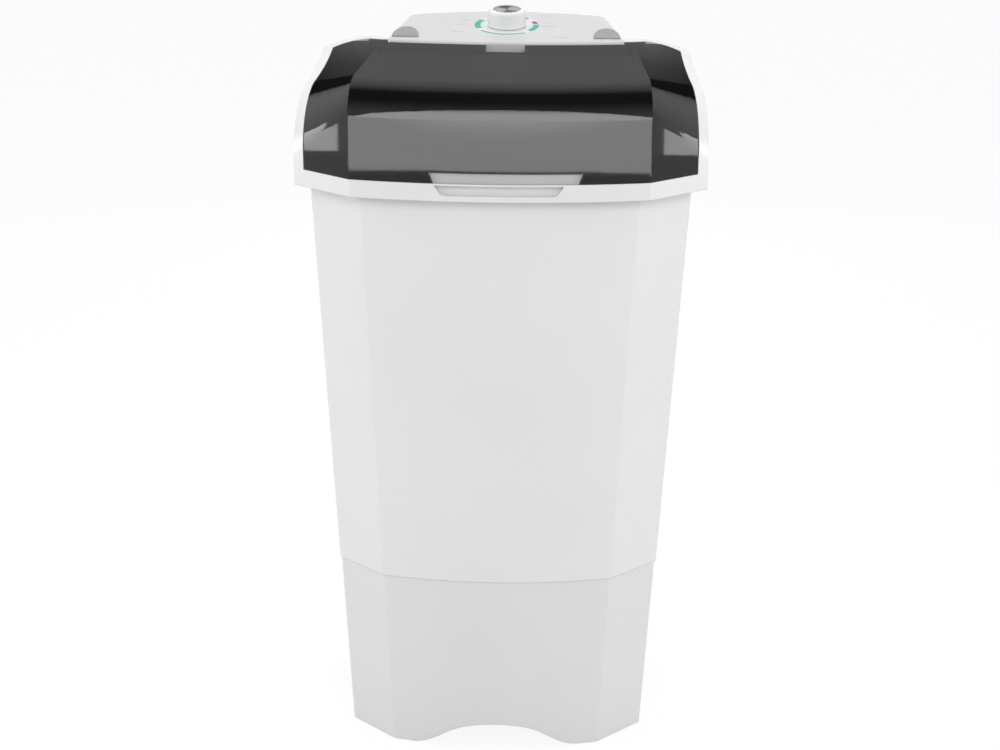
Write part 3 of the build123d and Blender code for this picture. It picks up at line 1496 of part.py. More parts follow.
spigot_start = drain_y + hose_bend + 1
shoulder_start = rear_wall(drain_z)
shoulder_end = spigot_stop - shoulder_cone
with BuildPart() as drain_spigot:
    with Locations(Location((drain_x, spigot_start, drain_z), (-90, 0, 0))):
        Cylinder(drain_tube, shoulder_start - spigot_start, align=bottom_aligned)
    with Locations(wall_place(drain_x, drain_z, base_step)):
        Cylinder(drain_flange_radius - 4, drain_wall, align=bottom_aligned)
    with Locations(Location((drain_x, shoulder_start, drain_z), (-90, 0, 0))):
        Cylinder(spigot_radius, drain_reach - shoulder_start, align=bottom_aligned)
        Cylinder(shoulder_radius, shoulder_end - shoulder_start, align=bottom_aligned)
    with Locations(Location((drain_x, shoulder_end, drain_z), (-90, 0, 0))):
        Cone(shoulder_radius, spigot_radius, shoulder_cone, align=bottom_aligned)
    with Locations(Location((drain_x, spigot_start - 1, drain_z), (-90, 0, 0))):
        Cylinder(drain_bore, drain_reach, align=bottom_aligned, mode=Mode.SUBTRACT)

drain_spigot.part.label = "drain_spigot"
export_step(drain_spigot.part, "parts/drain_spigot.step")

clamp_wall = 1.5
clamp_ear = (12.0, 8.0, clamp_width)
clamp_places = [
    Location((drain_x, drain_y, hose_top - 2 * clamp_width)),
    Location((drain_x, hose_end - 2, drain_z), (90, 0, 0)),
]
with BuildPart() as hose_clamps:
    for place in clamp_places:
        with Locations(place):
            Cylinder(hose_outer + clamp_wall, clamp_width, align=bottom_aligned)
        with Locations(place * Location((hose_outer, 0, 0))):
            Box(*clamp_ear, align=(Align.MIN, Align.CENTER, Align.MIN))
        with Locations(place):
            Cylinder(hose_outer, clamp_width, align=bottom_aligned, mode=Mode.SUBTRACT)

hose_clamps.part.label = "hose_clamps"
export_step(hose_clamps.part, "parts/hose_clamps.step")

# Gland where the supply cord comes in
gland_length = 34.0
with BuildPart() as cord_gland:
    with Locations(Location((gland_x, rear_wall(gland_z) + gland_radius, gland_z), (90, 0, 0))):
        Cylinder(gland_radius, gland_length, align=bottom_aligned)
    with Locations(wall_place(gland_x, gland_z, base_step)):
        Cylinder(gland_flange_radius, drain_wall, align=bottom_aligned)
    with Locations(wall_place(gland_x, gland_z, base_inner)):
        Cylinder(gland_flange_radius, 2 * drain_wall, align=top_aligned)
    with Locations(Location((gland_x, rear_wall(gland_z), gland_z), (90, 0, 0))):
        Cylinder(gland_bore, 3 * gland_length, mode=Mode.SUBTRACT)

cord_gland.part.label = "cord_gland"
export_step(cord_gland.part, "parts/cord_gland.step")

# Cable from the timer, down the back of the tub and in under its floor to the motor
wire_side = -timer_size / 2
wire_start_y = knob_y + 2.5
wire_start_z = panel_z(knob_y) - panel_wall - timer_height / 2 - 3
wire_end_angle = radians(145)
wire_turn_y = 190.0
wire_end_z = motor_top - 10.0
wire_bend = 8.0
with BuildPart() as wiring_harness:
    with BuildLine() as wire_path:
        FilletPolyline(
            (wire_side, wire_start_y, wire_start_z),
            (duct_x, wire_start_y, wire_start_z),
            (duct_x, wire_start_y, wire_z),
            (duct_x, rear_wall(wire_z) + harness_stand_off, wire_z),
            (duct_x, rear_wall(harness_entry) + harness_stand_off, harness_entry),
            (duct_x, wire_turn_y, harness_entry),
            (duct_x, wire_turn_y, wire_end_z),
            (
                (motor_radius + rotor_gap) * cos(wire_end_angle),
                motor_y + (motor_radius + rotor_gap) * sin(wire_end_angle),
                wire_end_z,
            ),
            radius=wire_bend,
        )
    with BuildSketch(Plane((wire_side, wire_start_y, wire_start_z), z_dir=(-1, 0, 0))):
        Circle(harness_radius)
    sweep(path=wire_path.line)

wiring_harness.part.label = "wiring_harness"
export_step(wiring_harness.part, "parts/wiring_harness.step")

duct_top = rim_low - duct_wall * 2
duct_frame = rear_plane(duct_x, duct_low)
with BuildPart() as wire_duct:
    with Locations(duct_frame.location):
        Box(duct_width, duct_depth, duct_top - duct_low, align=(Align.CENTER, Align.MIN, Align.MIN))
    with Locations(duct_frame.location * Location((0, 0, duct_wall))):
        Box(
            duct_width - 2 * duct_wall,
            duct_depth - duct_wall,
            duct_top - duct_low,
            align=(Align.CENTER, Align.MIN, Align.MIN),
            mode=Mode.SUBTRACT,
        )

wire_duct.part.label = "wire_duct"
export_step(wire_duct.part, "parts/wire_duct.step")

# Lint filter that slides up out of a holder on the tub's rear wall
filter_frame_plane = rear_plane(0, filter_low, tub_wall)
holder_wall = 2.0
holder_side = 4.0
holder_lip = 8.0
holder_depth = holder_wall + filter_thickness + 2 * filter_gap + holder_wall
with BuildPart() as filter_holder:
    with Locations(filter_frame_plane.location * Location((0, 0, -holder_side))):
        Box(
            filter_width + 2 * (filter_gap + holder_side),
            holder_depth,
            filter_height + holder_side,
            align=(Align.CENTER, Align.MAX, Align.MIN),
        )
    with Locations(filter_frame_plane.location * Location((0, -holder_wall, 0))):
        Box(
            filter_width + 2 * filter_gap,
            filter_thickness + 2 * filter_gap,
            filter_height + 1,
            align=(Align.CENTER, Align.MAX, Align.MIN),
            mode=Mode.SUBTRACT,
        )
    with Locations(filter_frame_plane.location * Location((0, -holder_depth / 2, holder_lip))):
        Box(
            filter_width - 2 * holder_lip,
            holder_depth,
            filter_height,
            align=(Align.CENTER, Align.MAX, Align.MIN),
            mode=Mode.SUBTRACT,
        )

filter_holder.part.label = "filter_holder"
export_step(filter_holder.part, "parts/filter_holder.step")

filter_back = holder_wall + filter_gap
filter_border = 7.0
filter_place = filter_frame_plane.location * Location((0, -filter_back, filter_gap))
grip_height = 14.0
grip_tab = (30.0, 8.0, 3.0)
with BuildPart() as filter_frame:
    with Locations(filter_place):
        Box(filter_width, filter_thickness, filter_height, align=(Align.CENTER, Align.MAX, Align.MIN))
    with Locations(filter_place * Location((0, 0, filter_border))):
        Box(
            filter_width - 2 * filter_border,
            filter_thickness,
            filter_height - filter_border - grip_height,
            align=(Align.CENTER, Align.MAX, Align.MIN),
            mode=Mode.SUBTRACT,
        )
    with Locations(filter_place * Location((0, -filter_thickness, filter_height - grip_height / 2))):
        Box(*grip_tab, align=(Align.CENTER, Align.MAX, Align.CENTER))

filter_frame.part.label = "filter_frame"
export_step(filter_frame.part, "parts/filter_frame.step")

net_wire = 1.0
net_width = filter_width - 2 * filter_border
net_height = filter_height - filter_border - grip_height
with BuildPart() as filter_net:
    net_place = filter_place * Location((0, -filter_thickness / 2, filter_border))
    column_count = int(net_width / filter_mesh)
    row_count = int(net_height / filter_mesh)
    for i in range(column_count + 1):
        x = (i / column_count - 0.5) * (net_width - net_wire)
        with Locations(net_place * Location((x, 0, 0))):
            Box(net_wire, net_wire, net_height, align=bottom_aligned)
    for i in range(row_count + 1):
        with Locations(net_place * Location((0, 0, i / row_count * (net_height - net_wire)))):
            Box(net_width, net_wire, net_wire, align=bottom_aligned)

filter_net.part.label = "filter_net"
export_step(filter_net.part, "parts/filter_net.step")
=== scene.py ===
"""Semi-automatic washing machine: looks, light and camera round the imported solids."""

import math
import bmesh
import bpy
from mathutils import Matrix, Vector


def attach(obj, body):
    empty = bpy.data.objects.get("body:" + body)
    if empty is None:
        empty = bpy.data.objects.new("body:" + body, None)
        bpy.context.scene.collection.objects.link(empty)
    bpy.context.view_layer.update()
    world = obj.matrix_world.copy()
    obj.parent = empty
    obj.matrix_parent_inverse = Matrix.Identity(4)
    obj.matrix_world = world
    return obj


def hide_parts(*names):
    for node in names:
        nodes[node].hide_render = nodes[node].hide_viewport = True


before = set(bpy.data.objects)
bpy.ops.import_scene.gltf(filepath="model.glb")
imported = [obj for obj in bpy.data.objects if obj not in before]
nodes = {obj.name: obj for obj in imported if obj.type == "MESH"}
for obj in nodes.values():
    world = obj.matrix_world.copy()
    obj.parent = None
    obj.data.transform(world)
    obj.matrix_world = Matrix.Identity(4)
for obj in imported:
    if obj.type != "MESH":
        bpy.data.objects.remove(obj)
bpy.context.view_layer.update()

scene = bpy.context.scene
scene.view_settings.view_transform = "Standard"


# Materials

def new_material(name):
    """Empty node material with its output, and a function that adds nodes to it."""
    material = bpy.data.materials.new(name)
    material.use_nodes = True
    tree = material.node_tree
    tree.nodes.clear()

    def add(kind, **settings):
        node = tree.nodes.new(kind)
        for key, value in settings.items():
            if key in node.inputs:
                node.inputs[key].default_value = value
            else:
                setattr(node, key, value)
        return node

    output = add("ShaderNodeOutputMaterial")
    return material, tree, add, output


def math_node(tree, operation, *values):
    """Math node whose inputs are numbers or sockets; gives its result."""
    node = tree.nodes.new("ShaderNodeMath")
    node.operation = operation
    for socket, value in zip(node.inputs, values):
        if isinstance(value, (int, float)):
            socket.default_value = value
        else:
            tree.links.new(value, socket)
    return node.outputs[0]


def tint(color, amount):
    """Color made lighter or darker by a factor."""
    return tuple(min(1.0, c * amount) for c in color[:3]) + (1.0,)


def moulded(
    name,
    color,
    roughness=0.35,
    spread=0.03,
    patch=14.0,
    grain=900.0,
    grain_height=0.00002,
    edge=0.0012,
    metallic=0.0,
    alpha=1.0,
    ior=1.46,
    roughness_spread=0.06,
):
    """Moulded, cast or drawn surface: soft tone patches, a fine grain and rounded edges."""
    material, tree, add, output = new_material(name)
    link = tree.links.new
    shader = add("ShaderNodeBsdfPrincipled", Metallic=metallic, IOR=ior, Alpha=alpha)
    place = add("ShaderNodeTexCoord")
    patches = add("ShaderNodeTexNoise", Scale=patch, Detail=3.0, Roughness=0.55)
    link(place.outputs["Object"], patches.inputs["Vector"])
    ramp = add("ShaderNodeValToRGB")
    ramp.color_ramp.elements[0].position = 0.3
    ramp.color_ramp.elements[0].color = tint(color, 1 - spread)
    ramp.color_ramp.elements[1].position = 0.7
    ramp.color_ramp.elements[1].color = tint(color, 1 + spread)
    link(patches.outputs["Fac"], ramp.inputs["Fac"])
    link(ramp.outputs["Color"], shader.inputs["Base Color"])
    wear = add("ShaderNodeTexNoise", Scale=patch * 4, Detail=4.0, Roughness=0.6)
    link(place.outputs["Object"], wear.inputs["Vector"])
    range_node = add("ShaderNodeMapRange")
    range_node.inputs["To Min"].default_value = max(0.02, roughness - roughness_spread)
    range_node.inputs["To Max"].default_value = roughness + roughness_spread
    link(wear.outputs["Fac"], range_node.inputs["Value"])
    link(range_node.outputs["Result"], shader.inputs["Roughness"])
    fine = add("ShaderNodeTexNoise", Scale=grain, Detail=2.0)
    link(place.outputs["Object"], fine.inputs["Vector"])
    bump = add("ShaderNodeBump", Strength=0.5, Distance=grain_height)
    link(fine.outputs["Fac"], bump.inputs["Height"])
    if edge:
        rounding = add("ShaderNodeBevel", samples=6, Radius=edge)
        link(rounding.outputs["Normal"], bump.inputs["Normal"])
    link(bump.outputs["Normal"], shader.inputs["Normal"])
    link(shader.outputs["BSDF"], output.inputs["Surface"])
    return material


tub_white = moulded("tub_white", (0.795, 0.795, 0.80), 0.33, 0.012, 5.0, 700.0, 0.00003, 0.002)
base_white = moulded("base_white", (0.75, 0.75, 0.755), 0.36, 0.012, 6.0, 700.0, 0.00003, 0.002)
frame_white = moulded("frame_white", (0.79, 0.79, 0.79), 0.25, 0.01, 8.0, 800.0, 0.00001, 0.0015)
panel_white = moulded("panel_white", (0.63, 0.63, 0.63), 0.3, 0.01, 10.0, 600.0, 0.000004, 0.0)
box_white = moulded("box_white", (0.60, 0.60, 0.605), 0.35, 0.01, 10.0, 900.0, 0.00001, 0.0012)
smoked = moulded(
    "smoked_acrylic", (0.006, 0.006, 0.0065), 0.03, 0.1, 4.0, 60.0, 0.000002, 0.0015, alpha=0.80,
    roughness_spread=0.01, ior=1.42,
)


def satin_with_painted_reflection(material, painted_reflection_color, extra_roughness):
    """Fade a polished moulding to a lighter, rougher grey without gloss where its own faces look up; the
    lighter grey is a painted reflection of the bright surroundings.
    """
    tree = material.node_tree
    link = tree.links.new
    shader = next(node for node in tree.nodes if node.type == "BSDF_PRINCIPLED")
    place = tree.nodes.new("ShaderNodeTexCoord")
    split = tree.nodes.new("ShaderNodeSeparateXYZ")
    link(place.outputs["Normal"], split.inputs[0])

    def by_slope(low, high, start, end):
        node = tree.nodes.new("ShaderNodeMapRange")
        for key, value in (("From Min", low), ("From Max", high), ("To Min", start), ("To Max", end)):
            node.inputs[key].default_value = value
        link(split.outputs["Z"], node.inputs["Value"])
        return node.outputs["Result"]

    polished = shader.inputs["Roughness"].links[0].from_socket
    extra = by_slope(0.75, 0.95, 0.0, extra_roughness)
    link(math_node(tree, "ADD", polished, extra), shader.inputs["Roughness"])
    link(by_slope(0.35, 0.75, 0.5, 0.0), shader.inputs["Specular IOR Level"])
    # Painted reflection: faces that look up are mixed towards the lighter grey.
    mix = tree.nodes.new("ShaderNodeMix")
    mix.data_type = "RGBA"
    link(by_slope(0.9, 1.01, 0.0, 1.0), mix.inputs[0])
    link(shader.inputs["Base Color"].links[0].from_socket, mix.inputs[6])
    mix.inputs[7].default_value = painted_reflection_color + (1.0,)
    link(mix.outputs[2], shader.inputs["Base Color"])


# The lid's upward faces are painted a lighter grey: a painted reflection, not the acrylic's own colour.
satin_with_painted_reflection(smoked, (0.1, 0.1, 0.101), 0.3)
# Painted shade: this grey stands in for the shade on the white upstand in the lid's front notch.
notch_painted_shade = moulded("notch_painted_shade", (0.52, 0.52, 0.52), 0.35, 0.03, 20.0, 900.0, 0.00001, 0.0)
pad_grey = moulded("pad_grey", (0.31, 0.31, 0.315), 0.5, 0.05, 60.0, 1400.0, 0.00006, 0.0004)
duct_grey = moulded("duct_grey", (0.62, 0.62, 0.63), 0.4, 0.03, 20.0, 900.0, 0.00002, 0.0008)
film_white = moulded("film_white", (0.76, 0.765, 0.765), 0.2, 0.01, 20.0, 900.0, 0.000005, 0.0)
knob_white = moulded("knob_white", (0.84, 0.845, 0.845), 0.28, 0.012, 40.0, 1200.0, 0.00001, 0.0006)
black_plastic = moulded("black_plastic", (0.03, 0.03, 0.032), 0.45, 0.2, 60.0, 1500.0, 0.00004, 0.0005)
inner_plastic = moulded("inner_plastic", (0.55, 0.63, 0.68), 0.3, 0.03, 12.0, 800.0, 0.00002, 0.0015)
pipe_plastic = moulded("pipe_plastic", (0.62, 0.62, 0.60), 0.4, 0.04, 30.0, 900.0, 0.00003, 0.0006)
rubber = moulded("rubber", (0.025, 0.025, 0.026), 0.65, 0.25, 80.0, 2200.0, 0.00008, 0.0006)
sleeve = moulded("wire_sleeve", (0.04, 0.04, 0.043), 0.5, 0.2, 120.0, 1800.0, 0.00006, 0.0)
steel = moulded(
    "zinc_steel", (0.58, 0.58, 0.57), 0.32, 0.1, 90.0, 2500.0, 0.00002, 0.0003, metallic=1.0,
    roughness_spread=0.1,
)
casting = moulded(
    "bell_casting", (0.62, 0.62, 0.62), 0.42, 0.08, 60.0, 1200.0, 0.00008, 0.0006, metallic=1.0,
    roughness_spread=0.1,
)
dark_pulley = moulded("dark_pulley", (0.045, 0.045, 0.048), 0.42, 0.15, 40.0, 1300.0, 0.00004, 0.0006)
bronze = moulded(
    "sintered_bronze", (0.62, 0.42, 0.2), 0.4, 0.12, 150.0, 2600.0, 0.00006, 0.0003, metallic=1.0
)
can_white = moulded("can_white", (0.78, 0.78, 0.76), 0.35, 0.02, 40.0, 1200.0, 0.00001, 0.0004)
net_white = moulded("net_thread", (0.72, 0.78, 0.8), 0.7, 0.1, 200.0, 3000.0, 0.0001, 0.0)


def striped(name, color, dark, direction, pitch, metallic, roughness, height):
    """Surface with fine parallel layers, such as laminations or wound wire."""
    material, tree, add, output = new_material(name)
    link = tree.links.new
    shader = add("ShaderNodeBsdfPrincipled", Metallic=metallic, Roughness=roughness)
    place = add("ShaderNodeTexCoord")
    wave = add("ShaderNodeTexWave", Scale=1 / pitch / 3.1416, Distortion=0.4, Detail=1.0)
    wave.bands_direction = direction
    link(place.outputs["Object"], wave.inputs["Vector"])
    ramp = add("ShaderNodeValToRGB")
    ramp.color_ramp.elements[0].color = dark + (1.0,)
    ramp.color_ramp.elements[0].position = 0.2
    ramp.color_ramp.elements[1].color = color + (1.0,)
    ramp.color_ramp.elements[1].position = 0.6
    link(wave.outputs["Fac"], ramp.inputs["Fac"])
    link(ramp.outputs["Color"], shader.inputs["Base Color"])
    bump = add("ShaderNodeBump", Strength=0.8, Distance=height)
    link(wave.outputs["Fac"], bump.inputs["Height"])
    link(bump.outputs["Normal"], shader.inputs["Normal"])
    link(shader.outputs["BSDF"], output.inputs["Surface"])
    return material


laminated = striped("laminated_core", (0.2, 0.2, 0.21), (0.06, 0.06, 0.065), "Z", 0.001, 0.8, 0.45, 0.0002)
copper_wound = striped("wound_wire", (0.5, 0.2, 0.08), (0.12, 0.03, 0.015), "Z", 0.0012, 0.7, 0.35, 0.0004)

node_finish = {
    "wash_tank": tub_white,
    "tub_bottom": tub_white,
    "base_skirt": base_white,
    "top_frame": frame_white,
    "control_panel": panel_white,
    "console_box": box_white,
    "lid": smoked,
    "panel_pad_left": pad_grey,
    "panel_pad_right": pad_grey,
    "wire_duct": duct_grey,
    "dial_film": film_white,
    "timer_knob": knob_white,
    "knob_insert": steel,
    "timer_body": black_plastic,
    "cord_gland": black_plastic,
    "capacitor_clip": black_plastic,
    "agitator": inner_plastic,
    "agitator_cap": inner_plastic,
    "filter_holder": inner_plastic,
    "filter_frame": inner_plastic,
    "drain_grille": inner_plastic,
    "drain_outlet": pipe_plastic,
    "drain_spigot": pipe_plastic,
    "bearing_housing": pipe_plastic,
    "housing_nut": pipe_plastic,
    "rubber_feet": rubber,
    "shaft_seal": rubber,
    "motor_grommets": rubber,
    "drive_belt": rubber,
    "drain_hose": rubber,
    "wiring_harness": sleeve,
    "stator_core": laminated,
    "rotor_core": laminated,
    "stator_windings": copper_wound,
    "motor_upper_bell": casting,
    "motor_lower_bell": casting,
    "motor_pulley": casting,
    "drive_pulley": dark_pulley,
    "upper_bush": bronze,
    "lower_bush": bronze,
    "capacitor": can_white,
    "filter_net": net_white,
}
for name, solid in nodes.items():
    finish = node_finish.get(name, steel)
    solid.data.materials.clear()
    solid.data.materials.append(finish)


# Mesh helpers, in metres in the frame's own axes

MM = 0.001


def make_object(name, mesh, material, body, smooth_angle=32.0):
    """Object in the scene that rides on a body, smooth but for its sharp edges."""
    mesh.materials.append(material)
    mesh.polygons.foreach_set("use_smooth", [True] * len(mesh.polygons))
    mesh.set_sharp_from_angle(angle=math.radians(smooth_angle))
    piece = bpy.data.objects.new(name, mesh)
    scene.collection.objects.link(piece)
    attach(piece, body)
    return piece


def lathe(profile, place, segments=96):
    """Closed profile of (radius, height) points in millimetres, turned about a place's Z axis."""
    mesh = bpy.data.meshes.new("lathe")
    work = bmesh.new()
    rings = []
    for radius, height in profile:
        if radius < 1e-6:
            rings.append([work.verts.new(place @ Vector((0, 0, height * MM)))])
            continue
        ring = []
        for i in range(segments):
            angle = 2 * math.pi * i / segments
            spot = Vector((radius * math.cos(angle), radius * math.sin(angle), height)) * MM
            ring.append(work.verts.new(place @ spot))
        rings.append(ring)
    for lower, upper in zip(rings, rings[1:] + rings[:1]):
        if len(lower) == 1 and len(upper) == 1:
            continue
        for i in range(segments):
            j = (i + 1) % segments
            if len(lower) == 1:
                work.faces.new((lower[0], upper[j], upper[i]))
            elif len(upper) == 1:
                work.faces.new((lower[i], lower[j], upper[0]))
            else:
                work.faces.new((lower[i], lower[j], upper[j], upper[i]))
    bmesh.ops.recalc_face_normals(work, faces=work.faces)
    work.to_mesh(mesh)
    work.free()
    return mesh


def arc_plate(inner, outer, start, end, low, high, place, step=2.0):
    """Thin solid sector between two radii and two angles in degrees, with sharp corners."""
    count = max(2, int(abs(end - start) / step))
    mesh = bpy.data.meshes.new("sector")
    work = bmesh.new()
    outline = []
    for i in range(count + 1):
        angle = math.radians(start + (end - start) * i / count)
        outline.append((outer * math.cos(angle), outer * math.sin(angle)))
    for i in range(count, -1, -1):
        angle = math.radians(start + (end - start) * i / count)
        outline.append((inner * math.cos(angle), inner * math.sin(angle)))
    for height in (low, high):
        for x, y in outline:
            work.verts.new(place @ (Vector((x, y, height)) * MM))
    work.verts.ensure_lookup_table()
    total = len(outline)
    last = total - 1
    for i in range(count):
        a, b, c, d = i, i + 1, last - i - 1, last - i
        work.faces.new([work.verts[total + k] for k in (a, b, c, d)])
        work.faces.new([work.verts[k] for k in (d, c, b, a)])
    for i in range(total):
        j = (i + 1) % total
        work.faces.new([work.verts[k] for k in (i, j, total + j, total + i)])
    bmesh.ops.recalc_face_normals(work, faces=work.faces)
    work.to_mesh(mesh)
    work.free()
    return mesh


panel_slope = math.radians(10.8)
panel_front_y = 0.129
panel_front_z = 0.9325


def on_panel(x, y):
    """Place on the panel's slope, X across, Y up the slope and Z out of it."""
    height = panel_front_z + (y - panel_front_y) * math.tan(panel_slope)
    return Matrix.Translation((x, y, height)) @ Matrix.Rotation(panel_slope, 4, "X")


knob_place = on_panel(0.0, 0.2)


# Console cover: a thin moulded shell with a rounded edge all round its sloping top

PANEL_FRONT, PANEL_REAR_CORNER = 129.0, 249.8
PANEL_FRONT_HALF, PANEL_REAR_HALF = 169.0, 142.4
PANEL_FRONT_BOW, PANEL_REAR_BOW = 10.0, 20.0
PANEL_CORNER_CUT = 10.0
PANEL_EDGE = 4.0
PANEL_FLAT_RIM = 0.4
PANEL_WALL = 3.0
PANEL_STEP_Y, PANEL_LOW, PANEL_DECK = 236.0, 914.0, 920.1
NECK_HOLE = 6.4


def panel_outline():
    """Plan of the cover, counter-clockwise in millimetres: points and their outward normals."""
    corners = [
        (-PANEL_FRONT_HALF, PANEL_FRONT),
        (PANEL_FRONT_HALF, PANEL_FRONT),
        (PANEL_REAR_HALF, PANEL_REAR_CORNER),
        (-PANEL_REAR_HALF, PANEL_REAR_CORNER),
    ]
    bows = [-PANEL_FRONT_BOW, 0.0, PANEL_REAR_BOW, 0.0]

    def along(edge, share):
        start = Vector(corners[edge])
        end = Vector(corners[(edge + 1) % 4])
        spot = start.lerp(end, share)
        return spot + Vector((0, bows[edge] * (1 - (2 * share - 1) ** 2)))

    points = []
    for edge in range(4):
        length = (Vector(corners[(edge + 1) % 4]) - Vector(corners[edge])).length
        cut = PANEL_CORNER_CUT / length
        shares = [cut + (1 - 2 * cut) * i / 40 for i in range(41)]
        points += [along(edge, share) for share in shares]
        turn_start = points[-1]
        middle = Vector(corners[(edge + 1) % 4])
        next_length = (Vector(corners[(edge + 2) % 4]) - middle).length
        turn_end = along((edge + 1) % 4, PANEL_CORNER_CUT / next_length)
        for i in range(1, 10):
            share = i / 10
            first = turn_start.lerp(middle, share)
            second = middle.lerp(turn_end, share)
            points.append(first.lerp(second, share))
    normals = []
    for i, point in enumerate(points):
        tangent = (points[(i + 1) % len(points)] - points[i - 1]).normalized()
        normals.append(Vector((tangent.y, -tangent.x)))
    return points, normals


def panel_cover_mesh():
    """Closed shell: outer wall, rounded edge, sloping top with a hole for the timer, and its inside."""
    points, normals = panel_outline()
    work = bmesh.new()

    def ring(inset, drop):
        verts = []
        for point, normal in zip(points, normals):
            spot = point - normal * inset
            top = panel_front_z / MM + (spot.y - PANEL_FRONT) * math.tan(panel_slope)
            low = PANEL_LOW if point.y < PANEL_STEP_Y else PANEL_DECK
            height = low if drop is None else max(low, top - drop)
            verts.append(work.verts.new(Vector((spot.x, spot.y, height)) * MM))
        return verts

    def hole(drop):
        verts = []
        for i in range(32):
            angle = 2 * math.pi * i / 32
            spot = Vector((NECK_HOLE * math.cos(angle), NECK_HOLE * math.sin(angle), -drop)) * MM
            verts.append(work.verts.new(knob_place @ spot))
        return verts

    def join(lower, upper):
        for i in range(len(lower)):
            j = (i + 1) % len(lower)
            work.faces.new((lower[i], lower[j], upper[j], upper[i]))

    def edges_of(verts):
        return [work.edges.get((verts[i - 1], verts[i])) or work.edges.new((verts[i - 1], verts[i]))
                for i in range(len(verts))]

    rings = [ring(PANEL_WALL, None), ring(0, None), ring(0, PANEL_EDGE)]
    for i in range(1, 9):
        angle = math.radians(90 * i / 8)
        rings.append(ring(PANEL_EDGE * (1 - math.cos(angle)), PANEL_EDGE * (1 - math.sin(angle))))
    rings.append(ring(PANEL_EDGE + PANEL_FLAT_RIM, 0))
    inner_top = ring(PANEL_WALL, PANEL_WALL)
    for lower, upper in zip([inner_top] + rings, rings):
        join(lower, upper)
    top_hole, inner_hole = hole(0), hole(PANEL_WALL * math.cos(panel_slope))
    join(top_hole, inner_hole)
    for outer, inner in ((rings[-1], top_hole), (inner_top, inner_hole)):
        bmesh.ops.triangle_fill(work, use_beauty=True, edges=edges_of(outer) + edges_of(inner))
    bmesh.ops.recalc_face_normals(work, faces=work.faces)
    mesh = bpy.data.meshes.new("panel_cover")
    work.to_mesh(mesh)
    work.free()
    return mesh


panel_cover = make_object("panel_cover", panel_cover_mesh(), panel_white, "cabinet")
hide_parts("control_panel")


# Knob: lathe-turned cap with a rounded shoulder and a sunken disc of spun metal

KNOB_RADIUS, KNOB_TOP = 27.5, 24.5
SHOULDER_IN, SHOULDER_DOWN = 3.2, 6.3
SKIRT_RADIUS = 28.3
KNOB_BORE, DISC_RADIUS = 20.1, 19.9
DISC_LOW, DISC_TOP = 20.9, 22.9

shoulder = [
    (KNOB_RADIUS - SHOULDER_IN * (1 - math.cos(t)), KNOB_TOP - SHOULDER_DOWN + SHOULDER_DOWN * math.sin(t))
    for t in [math.radians(a) for a in range(0, 91, 10)]
]
skirt = [
    (25.0, 0.9),
    (SKIRT_RADIUS - 0.3, 0.9),
    (SKIRT_RADIUS, 1.3),
    (SKIRT_RADIUS, 2.7),
    (SKIRT_RADIUS - 0.3, 3.1),
    (KNOB_RADIUS + 0.2, 3.4),
]
rim = [
    (KNOB_BORE + 0.9, KNOB_TOP),
    (KNOB_BORE + 0.4, KNOB_TOP - 0.15),
    (KNOB_BORE + 0.1, KNOB_TOP - 0.6),
]
knob_profile = [(KNOB_BORE, 22.2), (KNOB_BORE, 1.4)] + skirt + shoulder + rim
knob_cap = make_object("knob_cap", lathe(knob_profile, knob_place), knob_white, "knob")
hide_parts("timer_knob")

disc_profile = [
    (0.0, DISC_LOW),
    (DISC_RADIUS, DISC_LOW),
    (DISC_RADIUS, DISC_TOP - 0.3),
    (DISC_RADIUS - 0.3, DISC_TOP),
    (DISC_RADIUS - 1.1, DISC_TOP),
    (DISC_RADIUS - 1.5, DISC_TOP - 0.3),
    (11.0, DISC_TOP - 0.6),
    (0.0, DISC_TOP - 0.7),
]


def spun_metal():
    """Turned aluminium: fine rings, and light and dark fans painted into its colour, a painted reflection
    of the kind a lathe-spun face shows.
    """
    material, tree, add, output = new_material("spun_metal")
    link = tree.links.new
    fan_pairs = 2.0
    fan_turn = math.radians(28)
    shader = add("ShaderNodeBsdfPrincipled", Metallic=1.0, Roughness=0.24)
    place = add("ShaderNodeTexCoord")
    shift = add("ShaderNodeVectorMath", operation="SUBTRACT")
    shift.inputs[1].default_value = tuple(knob_place.translation)
    link(place.outputs["Object"], shift.inputs[0])
    split = add("ShaderNodeSeparateXYZ")
    link(shift.outputs[0], split.inputs[0])
    angle = math_node(tree, "ARCTAN2", split.outputs["Y"], split.outputs["X"])
    turned = math_node(tree, "ADD", angle, fan_turn)
    painted_reflection_fan = math_node(tree, "SINE", math_node(tree, "MULTIPLY", turned, fan_pairs))
    ramp = add("ShaderNodeValToRGB")
    lift = add("ShaderNodeMapRange")
    lift.inputs["From Min"].default_value = -1.0
    link(painted_reflection_fan, lift.inputs["Value"])
    link(lift.outputs["Result"], ramp.inputs["Fac"])
    # Painted reflection: the dark and light stops colour the fans in place of a real reflection off the
    # spun face.
    stops = ramp.color_ramp.elements
    stops[0].position = 0.2
    stops[0].color = (0.035, 0.035, 0.037, 1.0)
    stops[1].position = 0.62
    stops[1].color = (0.38, 0.38, 0.39, 1.0)
    link(ramp.outputs["Color"], shader.inputs["Base Color"])
    rings = add("ShaderNodeTexWave", Scale=260.0, Distortion=0.0)
    rings.wave_type = "RINGS"
    rings.rings_direction = "SPHERICAL"
    link(shift.outputs[0], rings.inputs["Vector"])
    bump = add("ShaderNodeBump", Strength=0.4, Distance=0.00003)
    link(rings.outputs["Fac"], bump.inputs["Height"])
    link(bump.outputs["Normal"], shader.inputs["Normal"])
    link(shader.outputs["BSDF"], output.inputs["Surface"])
    return material


knob_disc = make_object("knob_disc", lathe(disc_profile, knob_place), spun_metal(), "knob")
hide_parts("knob_insert")


# Print round the knob: coloured arcs and marks, a fine circle and short grey bars

